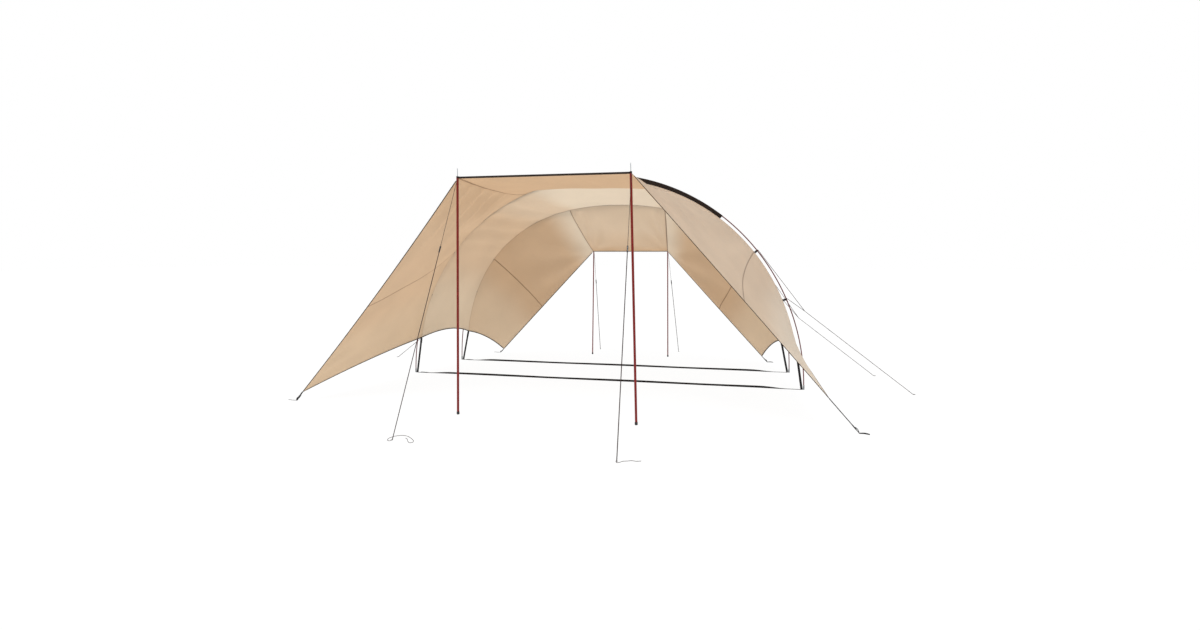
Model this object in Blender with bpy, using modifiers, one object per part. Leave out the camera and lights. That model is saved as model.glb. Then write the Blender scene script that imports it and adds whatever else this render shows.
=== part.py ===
# Arch-supported shade sail: a fabric canopy over two arch rods, two front poles
# and two rear poles, with ground straps, corner straps and guy lines.
# Metres, +Z up, +X to the right, +Y to the rear. The origin is on the ground,
# midway between the front and the rear guy ends.

import bpy
import bmesh
import math
from mathutils import Matrix, Vector, geometry

# Depth positions of the frame: the origin lies MIDDLE behind the front poles
MIDDLE = 1.768
FRONT_Y = -MIDDLE
FRONT_ARCH_Y = 1.990 - MIDDLE
REAR_ARCH_Y = 3.090 - MIDDLE
REAR_Y = 4.030 - MIDDLE

# Upright poles
FRONT_POLE = {"radius": 0.011, "top_x": 0.803, "foot_x": 0.855, "foot_dy": 0.028}
REAR_POLE = {"radius": 0.008, "top_x": 0.553, "foot_x": 0.570, "foot_dy": -0.010}
POLE_STANDOFF = 0.021
SPIKE_RADIUS = 0.0035
SPIKE_LENGTH = {"front": 0.095, "rear": 0.045}
FOOT_HEIGHT = 0.030
FOOT_WALL = 0.003

# Arches: half width, rise and squareness of the curve that the fabric follows,
# and of the rod outside it
FRONT_ARCH = {"y": FRONT_ARCH_Y, "half": 2.325, "rise": 2.375, "power": 2.06,
              "rod_half": 2.380, "rod_rise": 2.425, "rod_power": 2.02}
REAR_ARCH = {"y": REAR_ARCH_Y, "half": 2.170, "rise": 2.150, "power": 2.30,
             "rod_half": 2.257, "rod_rise": 2.200, "rod_power": 2.26}
ROD_RADIUS = 0.006
ROD_STEPS = 48
FERRULE_SCALE = 1.6
FERRULE_STEP = (0.050, 0.054)
SLEEVE_END_X = {"front": 1.43, "rear": 1.25}
SLEEVE_THICKNESS = 0.018
SLEEVE_WALL = 0.0035
SLEEVE_SEAT = {"front": 0.0005, "rear": 0.0019}
BORE_GAP = 0.0008

# Canopy
FRONT_RIDGE_Z = 2.200
REAR_RIDGE_Z = 1.545
FABRIC = 0.004
SEAM_GAP = 0.00025
FRONT_HIP_X = 0.870
REAR_HIP_X = 0.640
HEM_Z = {"front": 0.455, "rear": 0.420}
FRONT_CORNER = Vector((2.740, FRONT_Y + 0.170, 0.0))
REAR_CORNER = Vector((1.990, REAR_Y - 0.150, 0.0))
# How far down the line from its pole top to its ground point each cloth corner reaches:
# the corner straps are not all let out alike
TIP_SHARE = {"front": {"left": 0.955, "right": 0.865}, "rear": {"left": 0.960, "right": 0.945}}
TOP_SAG = {"front": 0.112, "rear": 0.030}
HIP_SAG = {"front": 0.040, "rear": 0.025}
EDGE_BOW = {"front": 0.060, "rear": -0.015}
HEM_RISE = {"front": 0.033, "rear": 0.050}
HEM_HOLLOW = {"front": 0.023, "rear": 0.0}
FLAP_SAG = {"front": 0.050, "rear": 0.025}
BAY_SAG = 0.025
BAY_HEM_RISE = 0.034
FLAP_ROWS = 14
TOP_COLUMNS = 10

# Bindings, webbing and cord
BINDING_RADIUS = 0.004
RIDGE_RADIUS = 0.005
GAP = 0.0005
EDGE_START = 0.014
WEBBING = 0.002
GROUND_STRAP_WIDTH = 0.025
GROUND_ADJUSTER = (0.050, 0.034, 0.011)
STRAP_WIDTH = 0.020
UPLIFT_WIDTH = 0.025
BUCKLE = (0.045, 0.028, 0.009)
HEM_DROP = 0.0048
CORNER_DROP = 0.0036
CORNER_TAIL = {"left": (0.100, 0.000), "right": (0.080, 0.010)}
CORNER_BUCKLE = {"front": {"left": 0.55, "right": 0.82}, "rear": {"left": 0.50, "right": 0.55}}
CLIP_STEPS = (10, 6)
CLIP_LIP = 0.005
CLIP_SEAT = 0.0007

# Guy lines: ground points from the front poles' line, and the legs' knots
CORD_RADIUS = 0.0015
DOUBLED = 1.7
SLIDER = {"scale": 4.0, "half_length": 0.030}
PEG_LOOP = 0.022
FRONT_GUY = {"left": (-0.986, -0.941), "right": (0.911, -1.064)}
REAR_GUY = {"left": (-0.580, 4.580), "right": (0.660, 4.600)}
SIDE_GUY_X = {"front": 3.510, "rear": 3.270}
SIDE_KNOT = {"front": (2.370, 0.878), "rear": (2.360, 0.700)}

# Loose ends of the front guy lines on the ground, from the front poles' line
TAIL_ROUTE = {
    "left": [(-1.004, -0.972), (-1.018, -0.962), (-1.032, -0.930), (-1.038, -0.885), (-1.018, -0.830),
             (-0.975, -0.800), (-0.925, -0.812), (-0.875, -0.850), (-0.830, -0.895), (-0.797, -0.938),
             (-0.790, -0.975), (-0.808, -0.985), (-0.835, -0.958), (-0.862, -0.920), (-0.885, -0.885),
             (-0.905, -0.872)],
    "right": [(0.922, -1.102), (0.935, -1.096), (0.946, -1.078), (0.958, -1.060), (0.975, -1.052),
              (0.993, -1.044), (1.010, -1.032), (1.032, -1.034), (1.054, -1.038), (1.085, -1.024)],
}
TAIL_SPACING = 0.0088

SIDES = (("left", -1.0), ("right", 1.0))


def new_collection(name):
    collection = bpy.data.collections.new(name)
    bpy.context.scene.collection.children.link(collection)
    return collection


def clear_scene():
    for item in list(bpy.data.objects):
        bpy.data.objects.remove(item, do_unlink=True)


def make_material(name, color, roughness, metallic=0.0):
    material = bpy.data.materials.new(name)
    material.use_nodes = True
    shader = material.node_tree.nodes["Principled BSDF"]
    shader.inputs["Base Color"].default_value = (*color, 1.0)
    shader.inputs["Roughness"].default_value = roughness
    shader.inputs["Metallic"].default_value = metallic
    material.diffuse_color = (*color, 1.0)
    return material


clear_scene()
PARTS = new_collection("shade_sail")
CUTTERS = new_collection("cutters")

MATERIALS = {
    "canopy_fabric": make_material("canopy_fabric", (0.62, 0.43, 0.27), 0.75),
    "black_binding": make_material("black_binding", (0.025, 0.024, 0.022), 0.8),
    "red_tube": make_material("red_tube", (0.30, 0.012, 0.020), 0.32, 0.6),
    "red_rod": make_material("red_rod", (0.28, 0.020, 0.025), 0.38),
    "black_rubber": make_material("black_rubber", (0.02, 0.02, 0.02), 0.7),
    "black_webbing": make_material("black_webbing", (0.03, 0.03, 0.03), 0.85),
    "black_plastic": make_material("black_plastic", (0.02, 0.02, 0.02), 0.45),
    "guy_cord": make_material("guy_cord", (0.33, 0.16, 0.14), 0.8),
}


def add_object(name, data, material, collection=PARTS):
    item = bpy.data.objects.new(name, data)
    data.materials.append(MATERIALS[material])
    collection.objects.link(item)
    return item


def mesh_from(bm, name):
    mesh = bpy.data.meshes.new(name)
    bm.to_mesh(mesh)
    bm.free()
    return mesh


# Curve geometry

def arch_point(half, rise, power, angle, y):
    share = 2.0 / power
    x = math.copysign(abs(math.cos(angle)) ** share, math.cos(angle)) * half
    z = abs(math.sin(angle)) ** share * rise
    return Vector((x, y, z))


def fabric_point(arch, angle):
    return arch_point(arch["half"], arch["rise"], arch["power"], angle, arch["y"])


def rod_point(arch, angle):
    return arch_point(arch["rod_half"], arch["rod_rise"], arch["rod_power"], angle, arch["y"])


def angle_at_x(arch, x):
    return math.acos((x / arch["half"]) ** (arch["power"] / 2.0))


def angle_at_z(arch, z):
    return math.asin((z / arch["rise"]) ** (arch["power"] / 2.0))


def arc_bump(share):
    return 4.0 * share * (1.0 - share)


def blend(a, b, share):
    return a.lerp(b, share)


# Canopy surface. Every function gives the right-hand side; side mirrors it.

class Gable:
    """One side of an end of the canopy: half the ridge, half the arch, and the corner."""

    def __init__(self, end, word, arch, pole, ridge_y, ridge_z, hip_x, corner):
        self.end = end
        self.arch = arch
        self.ridge_end = Vector((pole["top_x"], ridge_y, ridge_z))
        self.hip_angle = angle_at_x(arch, hip_x)
        self.hem_angle = angle_at_z(arch, HEM_Z[end])
        self.tip = blend(self.ridge_end, corner, TIP_SHARE[end][word])
        self.corner = corner

    def outer_edge(self, v):
        point = blend(self.ridge_end, self.tip, v)
        point.y += EDGE_BOW[self.end] * arc_bump(v)
        return point

    def arch_edge(self, v):
        angle = self.hip_angle + (self.hem_angle - self.hip_angle) * v
        return fabric_point(self.arch, angle)

    def hip(self, u):
        point = blend(self.ridge_end, self.arch_edge(0.0), u)
        point.z -= HIP_SAG[self.end] * arc_bump(u)
        return point

    def hem(self, u):
        point = blend(self.tip, self.arch_edge(1.0), u)
        point.x -= HEM_HOLLOW[self.end] * arc_bump(u)
        point.z += HEM_RISE[self.end] * arc_bump(u)
        return point

    def flap(self, u, v):
        across = blend(self.outer_edge(v), self.arch_edge(v), u)
        down = blend(self.hip(u), self.hem(u), v)
        top = blend(self.outer_edge(0.0), self.arch_edge(0.0), u)
        bottom = blend(self.outer_edge(1.0), self.arch_edge(1.0), u)
        point = across + down - blend(top, bottom, v)
        inward = Vector((-point.x, 0.0, -0.6 * point.z)).normalized()
        return point + inward * FLAP_SAG[self.end] * arc_bump(u) * arc_bump(v)

    def top(self, u, s):
        ridge = Vector((self.ridge_end.x * s, self.ridge_end.y, self.ridge_end.z))
        angle = math.pi / 2 - (math.pi / 2 - self.hip_angle) * s
        point = blend(ridge, fabric_point(self.arch, angle), u)
        crown = 1.0 - s * s
        sag = HIP_SAG[self.end] + (TOP_SAG[self.end] - HIP_SAG[self.end]) * crown
        point.z -= sag * arc_bump(u)
        return point


def gable_sides(*facts):
    return {word: Gable(facts[0], word, *facts[1:]) for word, _ in SIDES}


FRONT_SIDES = gable_sides(
    "front", FRONT_ARCH, FRONT_POLE, FRONT_Y, FRONT_RIDGE_Z, FRONT_HIP_X, FRONT_CORNER)
REAR_SIDES = gable_sides(
    "rear", REAR_ARCH, REAR_POLE, REAR_Y, REAR_RIDGE_Z, REAR_HIP_X, REAR_CORNER)
FRONT = FRONT_SIDES["right"]
REAR = REAR_SIDES["right"]


def station_angle(gable, s, lift=0.0):
    """Angle on an arch for s from 0 at the left hem to 1 at the right hem, with the
    same stations as the flaps' rows and the visor top's columns."""
    place = abs(2.0 * s - 1.0) * (FLAP_ROWS + TOP_COLUMNS / 2)
    from_crown = min(place / (TOP_COLUMNS / 2), 1.0)
    below_hip = max(place - TOP_COLUMNS / 2, 0.0) / FLAP_ROWS
    angle = math.pi / 2 - (math.pi / 2 - gable.hip_angle) * from_crown
    angle -= (gable.hip_angle - gable.hem_angle - lift) * below_hip
    return angle if s >= 0.5 else math.pi - angle


def bay_point(u, s):
    """Middle bay: u from the front to the rear arch, s from the left hem to the right."""
    lift = BAY_HEM_RISE * arc_bump(u)
    ends = [fabric_point(gable.arch, station_angle(gable, s, lift)) for gable in (FRONT, REAR)]
    point = blend(ends[0], ends[1], u)
    inward = Vector((-point.x, 0.0, -point.z)).normalized()
    return point + inward * BAY_SAG * arc_bump(u)


def mirrored(point, side):
    return Vector((point.x * side, point.y, point.z))


def inset_share(share, length, free_low=False, free_high=False):
    """Holds a panel's rim back from its seams by half the seam gap."""
    low = 0.0 if free_low else SEAM_GAP / length
    high = 0.0 if free_high else SEAM_GAP / length
    return low + share * (1.0 - low - high)


def panel(name, surface, steps_u, steps_v, outward):
    """A fabric panel: a grid laid on surface(u, v), thickened outwards."""
    bm = bmesh.new()
    bmesh.ops.create_grid(bm, x_segments=steps_u, y_segments=steps_v, size=0.5)
    for vert in bm.verts:
        vert.co = surface(vert.co.x + 0.5, vert.co.y + 0.5)
    bm.normal_update()
    facing = sum(face.normal.dot(outward(face.calc_center_median())) for face in bm.faces)
    if facing < 0.0:
        bmesh.ops.reverse_faces(bm, faces=bm.faces[:])
    item = add_object(name, mesh_from(bm, name), "canopy_fabric")
    item.data.shade_smooth()
    shell = item.modifiers.new("thickness", "SOLIDIFY")
    shell.thickness = FABRIC
    shell.offset = 1.0
    shell.use_even_offset = False
    return item


def from_axis(point):
    return Vector((point.x, 0.0, point.z + 0.2)).normalized()


def build_canopy():
    for both, steps in ((FRONT_SIDES, 10), (REAR_SIDES, 6)):
        gable = both["right"]
        span = (gable.arch_edge(0.0) - gable.ridge_end).length
        for word, side in SIDES:
            drop = (both[word].tip - gable.ridge_end).length

            def flap(u, v, half=both[word], side=side, drop=drop):
                along = inset_share(u, span, free_low=True)
                down = inset_share(v, drop, free_high=True)
                return mirrored(half.flap(along, down), side)
            panel(f"{gable.end}_flap_{word}", flap, steps, FLAP_ROWS, from_axis)

        def top(u, s, gable=gable):
            along = inset_share(u, span, free_low=True)
            share = (2.0 * s - 1.0) * (1.0 - SEAM_GAP / gable.ridge_end.x)
            return mirrored(gable.top(along, abs(share)), math.copysign(1.0, share))
        panel(f"{gable.end}_visor_top", top, steps, TOP_COLUMNS, from_axis)

    depth = REAR_ARCH_Y - FRONT_ARCH_Y

    def bay(u, s):
        return bay_point(inset_share(u, depth), s)
    panel("middle_bay_canopy", bay, 5, 2 * FLAP_ROWS + TOP_COLUMNS, from_axis)


# Tubes, straps and turned pieces

def tube(name, points, radius, material, collection=PARTS, scales=None, resolution=2):
    curve = bpy.data.curves.new(name, "CURVE")
    curve.dimensions = "3D"
    curve.bevel_depth = radius
    curve.bevel_resolution = resolution
    curve.use_fill_caps = True
    spline = curve.splines.new("POLY")
    spline.points.add(len(points) - 1)
    for index, point in enumerate(points):
        spline.points[index].co = (*point, 1.0)
        spline.points[index].radius = scales[index] if scales else 1.0
    return add_object(name, curve, material, collection)


def as_mesh(item):
    """Turns a curve object into a mesh object with its caps welded on."""
    graph = bpy.context.evaluated_depsgraph_get()
    mesh = bpy.data.meshes.new_from_object(item.evaluated_get(graph))
    bm = bmesh.new()
    bm.from_mesh(mesh)
    bmesh.ops.remove_doubles(bm, verts=bm.verts, dist=0.00001)
    bmesh.ops.recalc_face_normals(bm, faces=bm.faces)
    bm.to_mesh(mesh)
    bm.free()
    name = item.name
    place = item.matrix_world.copy()
    collection = item.users_collection[0]
    bpy.data.objects.remove(item, do_unlink=True)
    result = bpy.data.objects.new(name, mesh)
    result.matrix_world = place
    collection.objects.link(result)
    return result


def combine(item, other, operation):
    cut = item.modifiers.new(operation.lower(), "BOOLEAN")
    cut.operation = operation
    cut.solver = "EXACT"
    cut.object = other
    if other.name not in CUTTERS.objects:
        for collection in list(other.users_collection):
            collection.objects.unlink(other)
        CUTTERS.objects.link(other)
    other.hide_render = True
    other.display_type = "WIRE"


def ribbon(name, points, width, across):
    """A flat strap: a strip along the points, as wide as given across them."""
    bm = bmesh.new()
    verts = [bm.verts.new(point - across * width / 2) for point in points]
    edges = [bm.edges.new(pair) for pair in zip(verts, verts[1:])]
    grown = bmesh.ops.extrude_edge_only(bm, edges=edges)["geom"]
    moved = [part for part in grown if isinstance(part, bmesh.types.BMVert)]
    bmesh.ops.translate(bm, verts=moved, vec=across * width)
    bmesh.ops.recalc_face_normals(bm, faces=bm.faces)
    item = add_object(name, mesh_from(bm, name), "black_webbing")
    shell = item.modifiers.new("thickness", "SOLIDIFY")
    shell.thickness = WEBBING
    shell.offset = 0.0
    return item


def block(name, size, matrix, material, collection=CUTTERS):
    bm = bmesh.new()
    bmesh.ops.create_cube(bm, size=1.0)
    bmesh.ops.scale(bm, vec=Vector(size), verts=bm.verts)
    item = add_object(name, mesh_from(bm, name), material, collection)
    item.matrix_world = matrix
    return item


def turned(name, profile, base, direction, material, steps=20):
    """A turned piece: profile pairs (radius, height) run from the top down."""
    bm = bmesh.new()
    verts = [bm.verts.new((radius, 0.0, height)) for radius, height in profile]
    for pair in zip(verts, verts[1:]):
        bm.edges.new(pair)
    item = add_object(name, mesh_from(bm, name), material)
    screw = item.modifiers.new("turn", "SCREW")
    screw.steps = steps
    screw.render_steps = steps
    screw.use_merge_vertices = True
    screw.merge_threshold = 0.00001
    item.rotation_mode = "QUATERNION"
    item.rotation_quaternion = Vector((0, 0, 1)).rotation_difference(direction)
    item.location = base
    return item


def build_poles():
    for gable, pole, forward in ((FRONT, FRONT_POLE, -1.0), (REAR, REAR_POLE, 1.0)):
        for word, side in SIDES:
            top_y = gable.ridge_end.y + forward * POLE_STANDOFF
            shoulder = ridge_track(gable)[-1].z - RIDGE_RADIUS - GAP
            top = Vector((side * pole["top_x"], top_y, shoulder))
            foot = Vector((side * pole["foot_x"], top_y + pole["foot_dy"], FOOT_HEIGHT + 0.0007))
            length = (top - foot).length
            radius = pole["radius"]
            spike = SPIKE_LENGTH[gable.end]
            profile = [(0.0, length + spike), (0.0012, length + spike),
                       (SPIKE_RADIUS, length + spike * 0.8), (SPIKE_RADIUS, length),
                       (radius, length), (radius, 0.0), (0.0, 0.0)]
            turned(f"{gable.end}_pole_{word}", profile, foot, (top - foot).normalized(), "red_tube")
            base = Vector((foot.x, foot.y, 0.0))
            outer = radius + FOOT_WALL
            rubber = [(0.0, FOOT_HEIGHT), (outer, FOOT_HEIGHT), (outer, 0.004),
                      (outer - 0.003, 0.0), (0.0, 0.0)]
            turned(f"{gable.end}_pole_foot_{word}", rubber, base, Vector((0, 0, 1)), "black_rubber")


def rod_points(arch, steps):
    return [rod_point(arch, math.pi * i / steps) for i in range(steps + 1)]


def build_arches():
    for end, arch in (("front", FRONT_ARCH), ("rear", REAR_ARCH)):
        points = rod_points(arch, ROD_STEPS)
        right = [Vector((points[0].x, arch["y"], height)) for height in FERRULE_STEP]
        left = [Vector((-point.x, point.y, point.z)) for point in reversed(right)]
        points[1:1] = right
        points[-1:-1] = left
        scales = [FERRULE_SCALE] * 2 + [1.0] * (len(points) - 4) + [FERRULE_SCALE] * 2
        tube(f"{end}_arch_rod", points, ROD_RADIUS, "red_rod", scales=scales)


def arch_frame(before, after):
    """Middle of a stretch of an arch, its outward normal in the arch's plane, and its tangent."""
    here = blend(before, after, 0.5)
    tangent = (after - before).normalized()
    outward = Vector((0.0, 1.0, 0.0)).cross(tangent).normalized()
    if outward.dot(here) < 0.0:
        outward.negate()
    return here, outward, tangent


def distance_to(line, start, direction):
    """How far the start lies from a line of points in an arch's plane, along a direction."""
    for before, after in zip(line, line[1:]):
        facet = Vector((after.z - before.z, 0.0, before.x - after.x))
        slope = facet.dot(direction)
        if abs(slope) > 0.0:
            reach = facet.dot(before - start) / slope
            foot = start + direction * reach
            share = (foot - before).dot(after - before) / (after - before).length_squared
            if 0.0 <= share <= 1.0 and 0.0 < reach < 0.3:
                return reach
    return 0.0


def fabric_line(gable):
    """The panels' common rim on an arch, point by point from the left hem to the right."""
    count = 2 * FLAP_ROWS + TOP_COLUMNS
    return [fabric_point(gable.arch, station_angle(gable, i / count)) for i in range(count + 1)]


def build_sleeves():
    for gable in (FRONT, REAR):
        end, arch = gable.end, gable.arch
        rim = fabric_line(gable)
        rod = rod_points(arch, ROD_STEPS)
        inner = []
        outer = []
        for before, here, after in zip(rim, rim[1:], rim[2:]):
            if abs(here.x) <= SLEEVE_END_X[end]:
                _, outward, _ = arch_frame(before, after)
                reach = distance_to(rod, here, outward) + ROD_RADIUS + SLEEVE_WALL
                inner.append(here + outward * (FABRIC + SLEEVE_SEAT[end]))
                outer.append(here + outward * reach)
        bm = bmesh.new()
        steps = len(inner) - 1
        bmesh.ops.create_grid(bm, x_segments=steps, y_segments=1, size=0.5)
        for vert in bm.verts:
            index = round((vert.co.x + 0.5) * steps)
            vert.co = outer[index] if vert.co.y > 0.0 else inner[index]
        item = add_object(f"{end}_arch_sleeve", mesh_from(bm, end), "black_binding")
        shell = item.modifiers.new("thickness", "SOLIDIFY")
        shell.thickness = SLEEVE_THICKNESS
        shell.offset = 0.0
        bore = tube(f"{end}_sleeve_bore", rod, ROD_RADIUS + BORE_GAP, "black_binding", CUTTERS)
        combine(item, as_mesh(bore), "DIFFERENCE")


def clip_frames(arch, side):
    """The upper and the lower clip sit midway along straight stretches of the rod."""
    points = rod_points(arch, ROD_STEPS)
    if side < 0:
        points.reverse()
    return [arch_frame(points[step], points[step + 1]) for step in CLIP_STEPS]


def build_clips():
    for gable in (FRONT, REAR):
        rim = fabric_line(gable)
        for word, side in SIDES:
            for level, (here, outward, tangent) in zip(("upper", "lower"), clip_frames(gable.arch, side)):
                reach = distance_to(rim, here, -outward) - FABRIC - CLIP_SEAT
                top = ROD_RADIUS + CLIP_LIP
                centre = here + outward * (top - reach) / 2.0
                turn = Matrix((tangent, Vector((0, 1, 0)), outward)).transposed().to_4x4()
                size = (STRAP_WIDTH, STRAP_WIDTH, top + reach)
                name = f"{gable.end}_arch_clip_{word}_{level}"
                clip = block(name, size, Matrix.Translation(centre) @ turn, "black_plastic", PARTS)
                along = tangent * STRAP_WIDTH
                bore = tube(name + "_bore", [here - along, here + along],
                            ROD_RADIUS + BORE_GAP, "black_plastic", CUTTERS)
                combine(clip, as_mesh(bore), "DIFFERENCE")


# Bindings

def edge_track(surface, places, inward, radius=BINDING_RADIUS, corner=None):
    """A binding's centre line: rim points pushed off the rim, away from the panel.
    The last place may be a corner, which is pushed off along both of its rims."""
    rims = [surface(*place) for place in places]
    reach = radius + GAP
    points = []
    for index, place in enumerate(places):
        push = (rims[index] - surface(place[0] + inward[0], place[1] + inward[1])).normalized()
        before = rims[max(index - 1, 0)]
        after = rims[min(index + 1, len(rims) - 1)]
        face = (after - before).cross(push).normalized()
        if face.dot(from_axis(rims[index])) < 0.0:
            face.negate()
        if corner and index == len(places) - 1:
            push += (rims[index] - surface(place[0] + corner[0], place[1] + corner[1])).normalized()
        points.append(rims[index] + push * reach + face * FABRIC / 2)
    return points


def ridge_track(gable):
    """The ridge binding's centre line, from the middle out to near the right-hand pole."""
    places = [(0.0, share) for share in (0.0, 0.2, 0.4, 0.6, 0.8, 0.96)]
    return edge_track(gable.top, places, (0.01, 0.0), radius=RIDGE_RADIUS)


def side_track(word):
    """A side's edge binding centre line, as if on the right, and the points where straps join it."""
    front, rear = FRONT_SIDES[word], REAR_SIDES[word]
    rows = [EDGE_START + (1.0 - EDGE_START) * i / FLAP_ROWS for i in range(FLAP_ROWS + 1)]
    edge_places = [(0.0, row) for row in rows]
    front_edge = edge_track(front.flap, edge_places, (0.01, 0.0), corner=(0.0, -0.01))
    front_hem = edge_track(front.flap, [(i / 10, 1.0) for i in range(1, 10)], (0.0, -0.01))
    bay_hem = edge_track(bay_point, [(i / 5, 1.0) for i in range(6)], (0.0, -0.004))
    rear_hem = edge_track(rear.flap, [(1.0 - i / 6, 1.0) for i in range(1, 6)], (0.0, -0.01))
    rear_edge = edge_track(rear.flap, edge_places, (0.01, 0.0), corner=(0.0, -0.01))
    joints = {"front_tip": front_edge[-1], "rear_tip": rear_edge[-1],
              "front_hem": bay_hem[0], "rear_hem": bay_hem[-1]}
    return front_edge + front_hem + bay_hem + rear_hem + rear_edge[::-1], joints


def build_bindings():
    for word, side in SIDES:
        track = [mirrored(point, side) for point in side_track(word)[0]]
        tube(f"edge_binding_{word}", track, BINDING_RADIUS, "black_binding")
    for gable, forward in ((FRONT, -1.0), (REAR, 1.0)):
        ring = SPIKE_RADIUS + GAP + RIDGE_RADIUS
        pole_y = gable.ridge_end.y + forward * POLE_STANDOFF
        half = ridge_track(gable)
        height = half[-1].z
        for i in range(11):
            turn = math.radians(90.0 - 25.0 * i)
            offset = Vector((ring * math.cos(turn), -forward * ring * math.sin(turn), 0.0))
            half.append(Vector((gable.ridge_end.x, pole_y, height)) + offset)
        points = [mirrored(point, -1.0) for point in reversed(half[1:])] + half
        tube(f"{gable.end}_ridge_binding", points, RIDGE_RADIUS, "black_binding")


# Webbing

def build_ground_straps():
    for end, arch in (("front", FRONT_ARCH), ("rear", REAR_ARCH)):
        reach = arch["rod_half"] - ROD_RADIUS * FERRULE_SCALE - GAP
        points = [Vector((x, arch["y"], WEBBING / 2)) for x in (-reach, 0.0, reach)]
        strap = ribbon(f"{end}_ground_strap", points, GROUND_STRAP_WIDTH, Vector((0, 1, 0)))
        place = Matrix.Translation((0.08 - reach, arch["y"], GROUND_ADJUSTER[2] / 2))
        combine(strap, block(f"{end}_strap_adjuster", GROUND_ADJUSTER, place, "black_plastic"), "UNION")


def strap_with_buckle(name, top, bottom, across, buckle_share, width=STRAP_WIDTH, extra=()):
    points = [top, blend(top, bottom, 0.5), bottom, *extra]
    strap = ribbon(name, points, width, across)
    down = (bottom - top).normalized()
    normal = across.cross(down).normalized()
    turn = Matrix((down, normal.cross(down), normal)).transposed().to_4x4()
    matrix = Matrix.Translation(blend(top, bottom, buckle_share)) @ turn
    combine(strap, block(name + "_buckle", BUCKLE, matrix, "black_plastic"), "UNION")


def build_uplift_straps():
    """Each hangs from the hem at an arch to the rod's foot, with its face to the front."""
    half = UPLIFT_WIDTH / 2.0
    for gable in (FRONT, REAR):
        arch = gable.arch
        hem = side_track("right")[1][gable.end + "_hem"]
        foot_x = arch["rod_half"] - ROD_RADIUS * FERRULE_SCALE - GAP
        top = Vector((hem.x, arch["y"], hem.z - HEM_DROP))
        down = (Vector((foot_x - half, arch["y"], 0.0)) - top).normalized()
        across = down.cross(Vector((0.0, 1.0, 0.0)))
        bottom = Vector((foot_x - half * across.x, arch["y"], WEBBING + GAP + half * abs(across.z)))
        for word, side in SIDES:
            name = f"{gable.end}_uplift_strap_{word}"
            strap_with_buckle(name, mirrored(top, side), mirrored(bottom, side), mirrored(across, side),
                              0.10, UPLIFT_WIDTH)


def build_corner_straps():
    for gable, forward in ((FRONT, -1.0), (REAR, 1.0)):
        for word, side in SIDES:
            binding = side_track(word)[1][gable.end + "_tip"]
            down = (gable.corner - binding).normalized()
            top = binding + down * CORNER_DROP
            ground = gable.corner + Vector((0.0, 0.0, WEBBING / 2))
            reach = CORNER_TAIL[word]
            tail = ground + Vector((reach[0], forward * reach[1], 0.0))
            across = Vector((0.0, 1.0, 0.0))
            name = f"{gable.end}_corner_strap_{word}"
            points = [mirrored(point, side) for point in (top, ground, tail)]
            share = CORNER_BUCKLE[gable.end][word]
            strap_with_buckle(name, points[0], points[1], across, share, extra=(points[2],))


# Guy lines

def guy_track(start, end, slider_share):
    """A taut line: single above the slider, doubled below it, laid flat at its end."""
    half = SLIDER["half_length"] / (end - start).length
    shares = [0.0, slider_share - 1.2 * half, slider_share - half, slider_share + half,
              slider_share + 1.2 * half, 1.0]
    points = [blend(start, end, share) for share in shares]
    away = Vector((end.x - start.x, end.y - start.y, 0.0)).normalized()
    points.append(end + away * PEG_LOOP)
    scales = [1.0, 1.0, SLIDER["scale"], SLIDER["scale"], DOUBLED, DOUBLED, DOUBLED]
    return points, scales


def build_end_guys():
    """Makes the four guy lines of the poles and gives each front one's ground end."""
    exits = {}
    ends = ((FRONT, FRONT_POLE, FRONT_GUY, -1.0), (REAR, REAR_POLE, REAR_GUY, 1.0))
    ring = SPIKE_RADIUS + GAP + CORD_RADIUS
    for gable, pole, targets, forward in ends:
        height = ridge_track(gable)[-1].z + RIDGE_RADIUS + GAP + CORD_RADIUS
        for word, side in SIDES:
            pole_y = gable.ridge_end.y + forward * POLE_STANDOFF
            centre = Vector((side * pole["top_x"], pole_y, height))
            loop = []
            for i in range(9):
                turn = math.radians(-160.0 + 32.0 * i)
                loop.append(centre + ring * Vector((math.sin(turn), -forward * math.cos(turn), 0.0)))
            start = centre + Vector((ring, forward * POLE_STANDOFF, 0.0))
            end = Vector((targets[word][0], FRONT_Y + targets[word][1], CORD_RADIUS * DOUBLED))
            points, scales = guy_track(start, end, 0.30)
            name = f"{gable.end}_guy_{word}"
            tube(name, loop + points, CORD_RADIUS, "guy_cord", scales=[1.0] * 9 + scales)
            if gable is FRONT:
                exits[word] = points[-2:]
    return exits


def build_side_guys():
    for gable in (FRONT, REAR):
        arch = gable.arch
        for word, side in SIDES:
            lift = ROD_RADIUS + CLIP_LIP + 2.0 * GAP + CORD_RADIUS
            upper, lower = [here + outward * lift for here, outward, _ in clip_frames(arch, side)]
            knot = Vector((side * SIDE_KNOT[gable.end][0], arch["y"], SIDE_KNOT[gable.end][1]))
            end = Vector((side * SIDE_GUY_X[gable.end], arch["y"], CORD_RADIUS * DOUBLED))
            points, scales = guy_track(knot, end, 0.24)
            name = f"{gable.end}_arch_guy_{word}"
            main = tube(name, [upper] + points, CORD_RADIUS, "guy_cord", scales=[1.0, 1.4] + scales[1:])
            leg = tube(name + "_leg", [lower, knot], CORD_RADIUS, "guy_cord", scales=[1.0, 1.3])
            combine(as_mesh(main), as_mesh(leg), "UNION")


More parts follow.
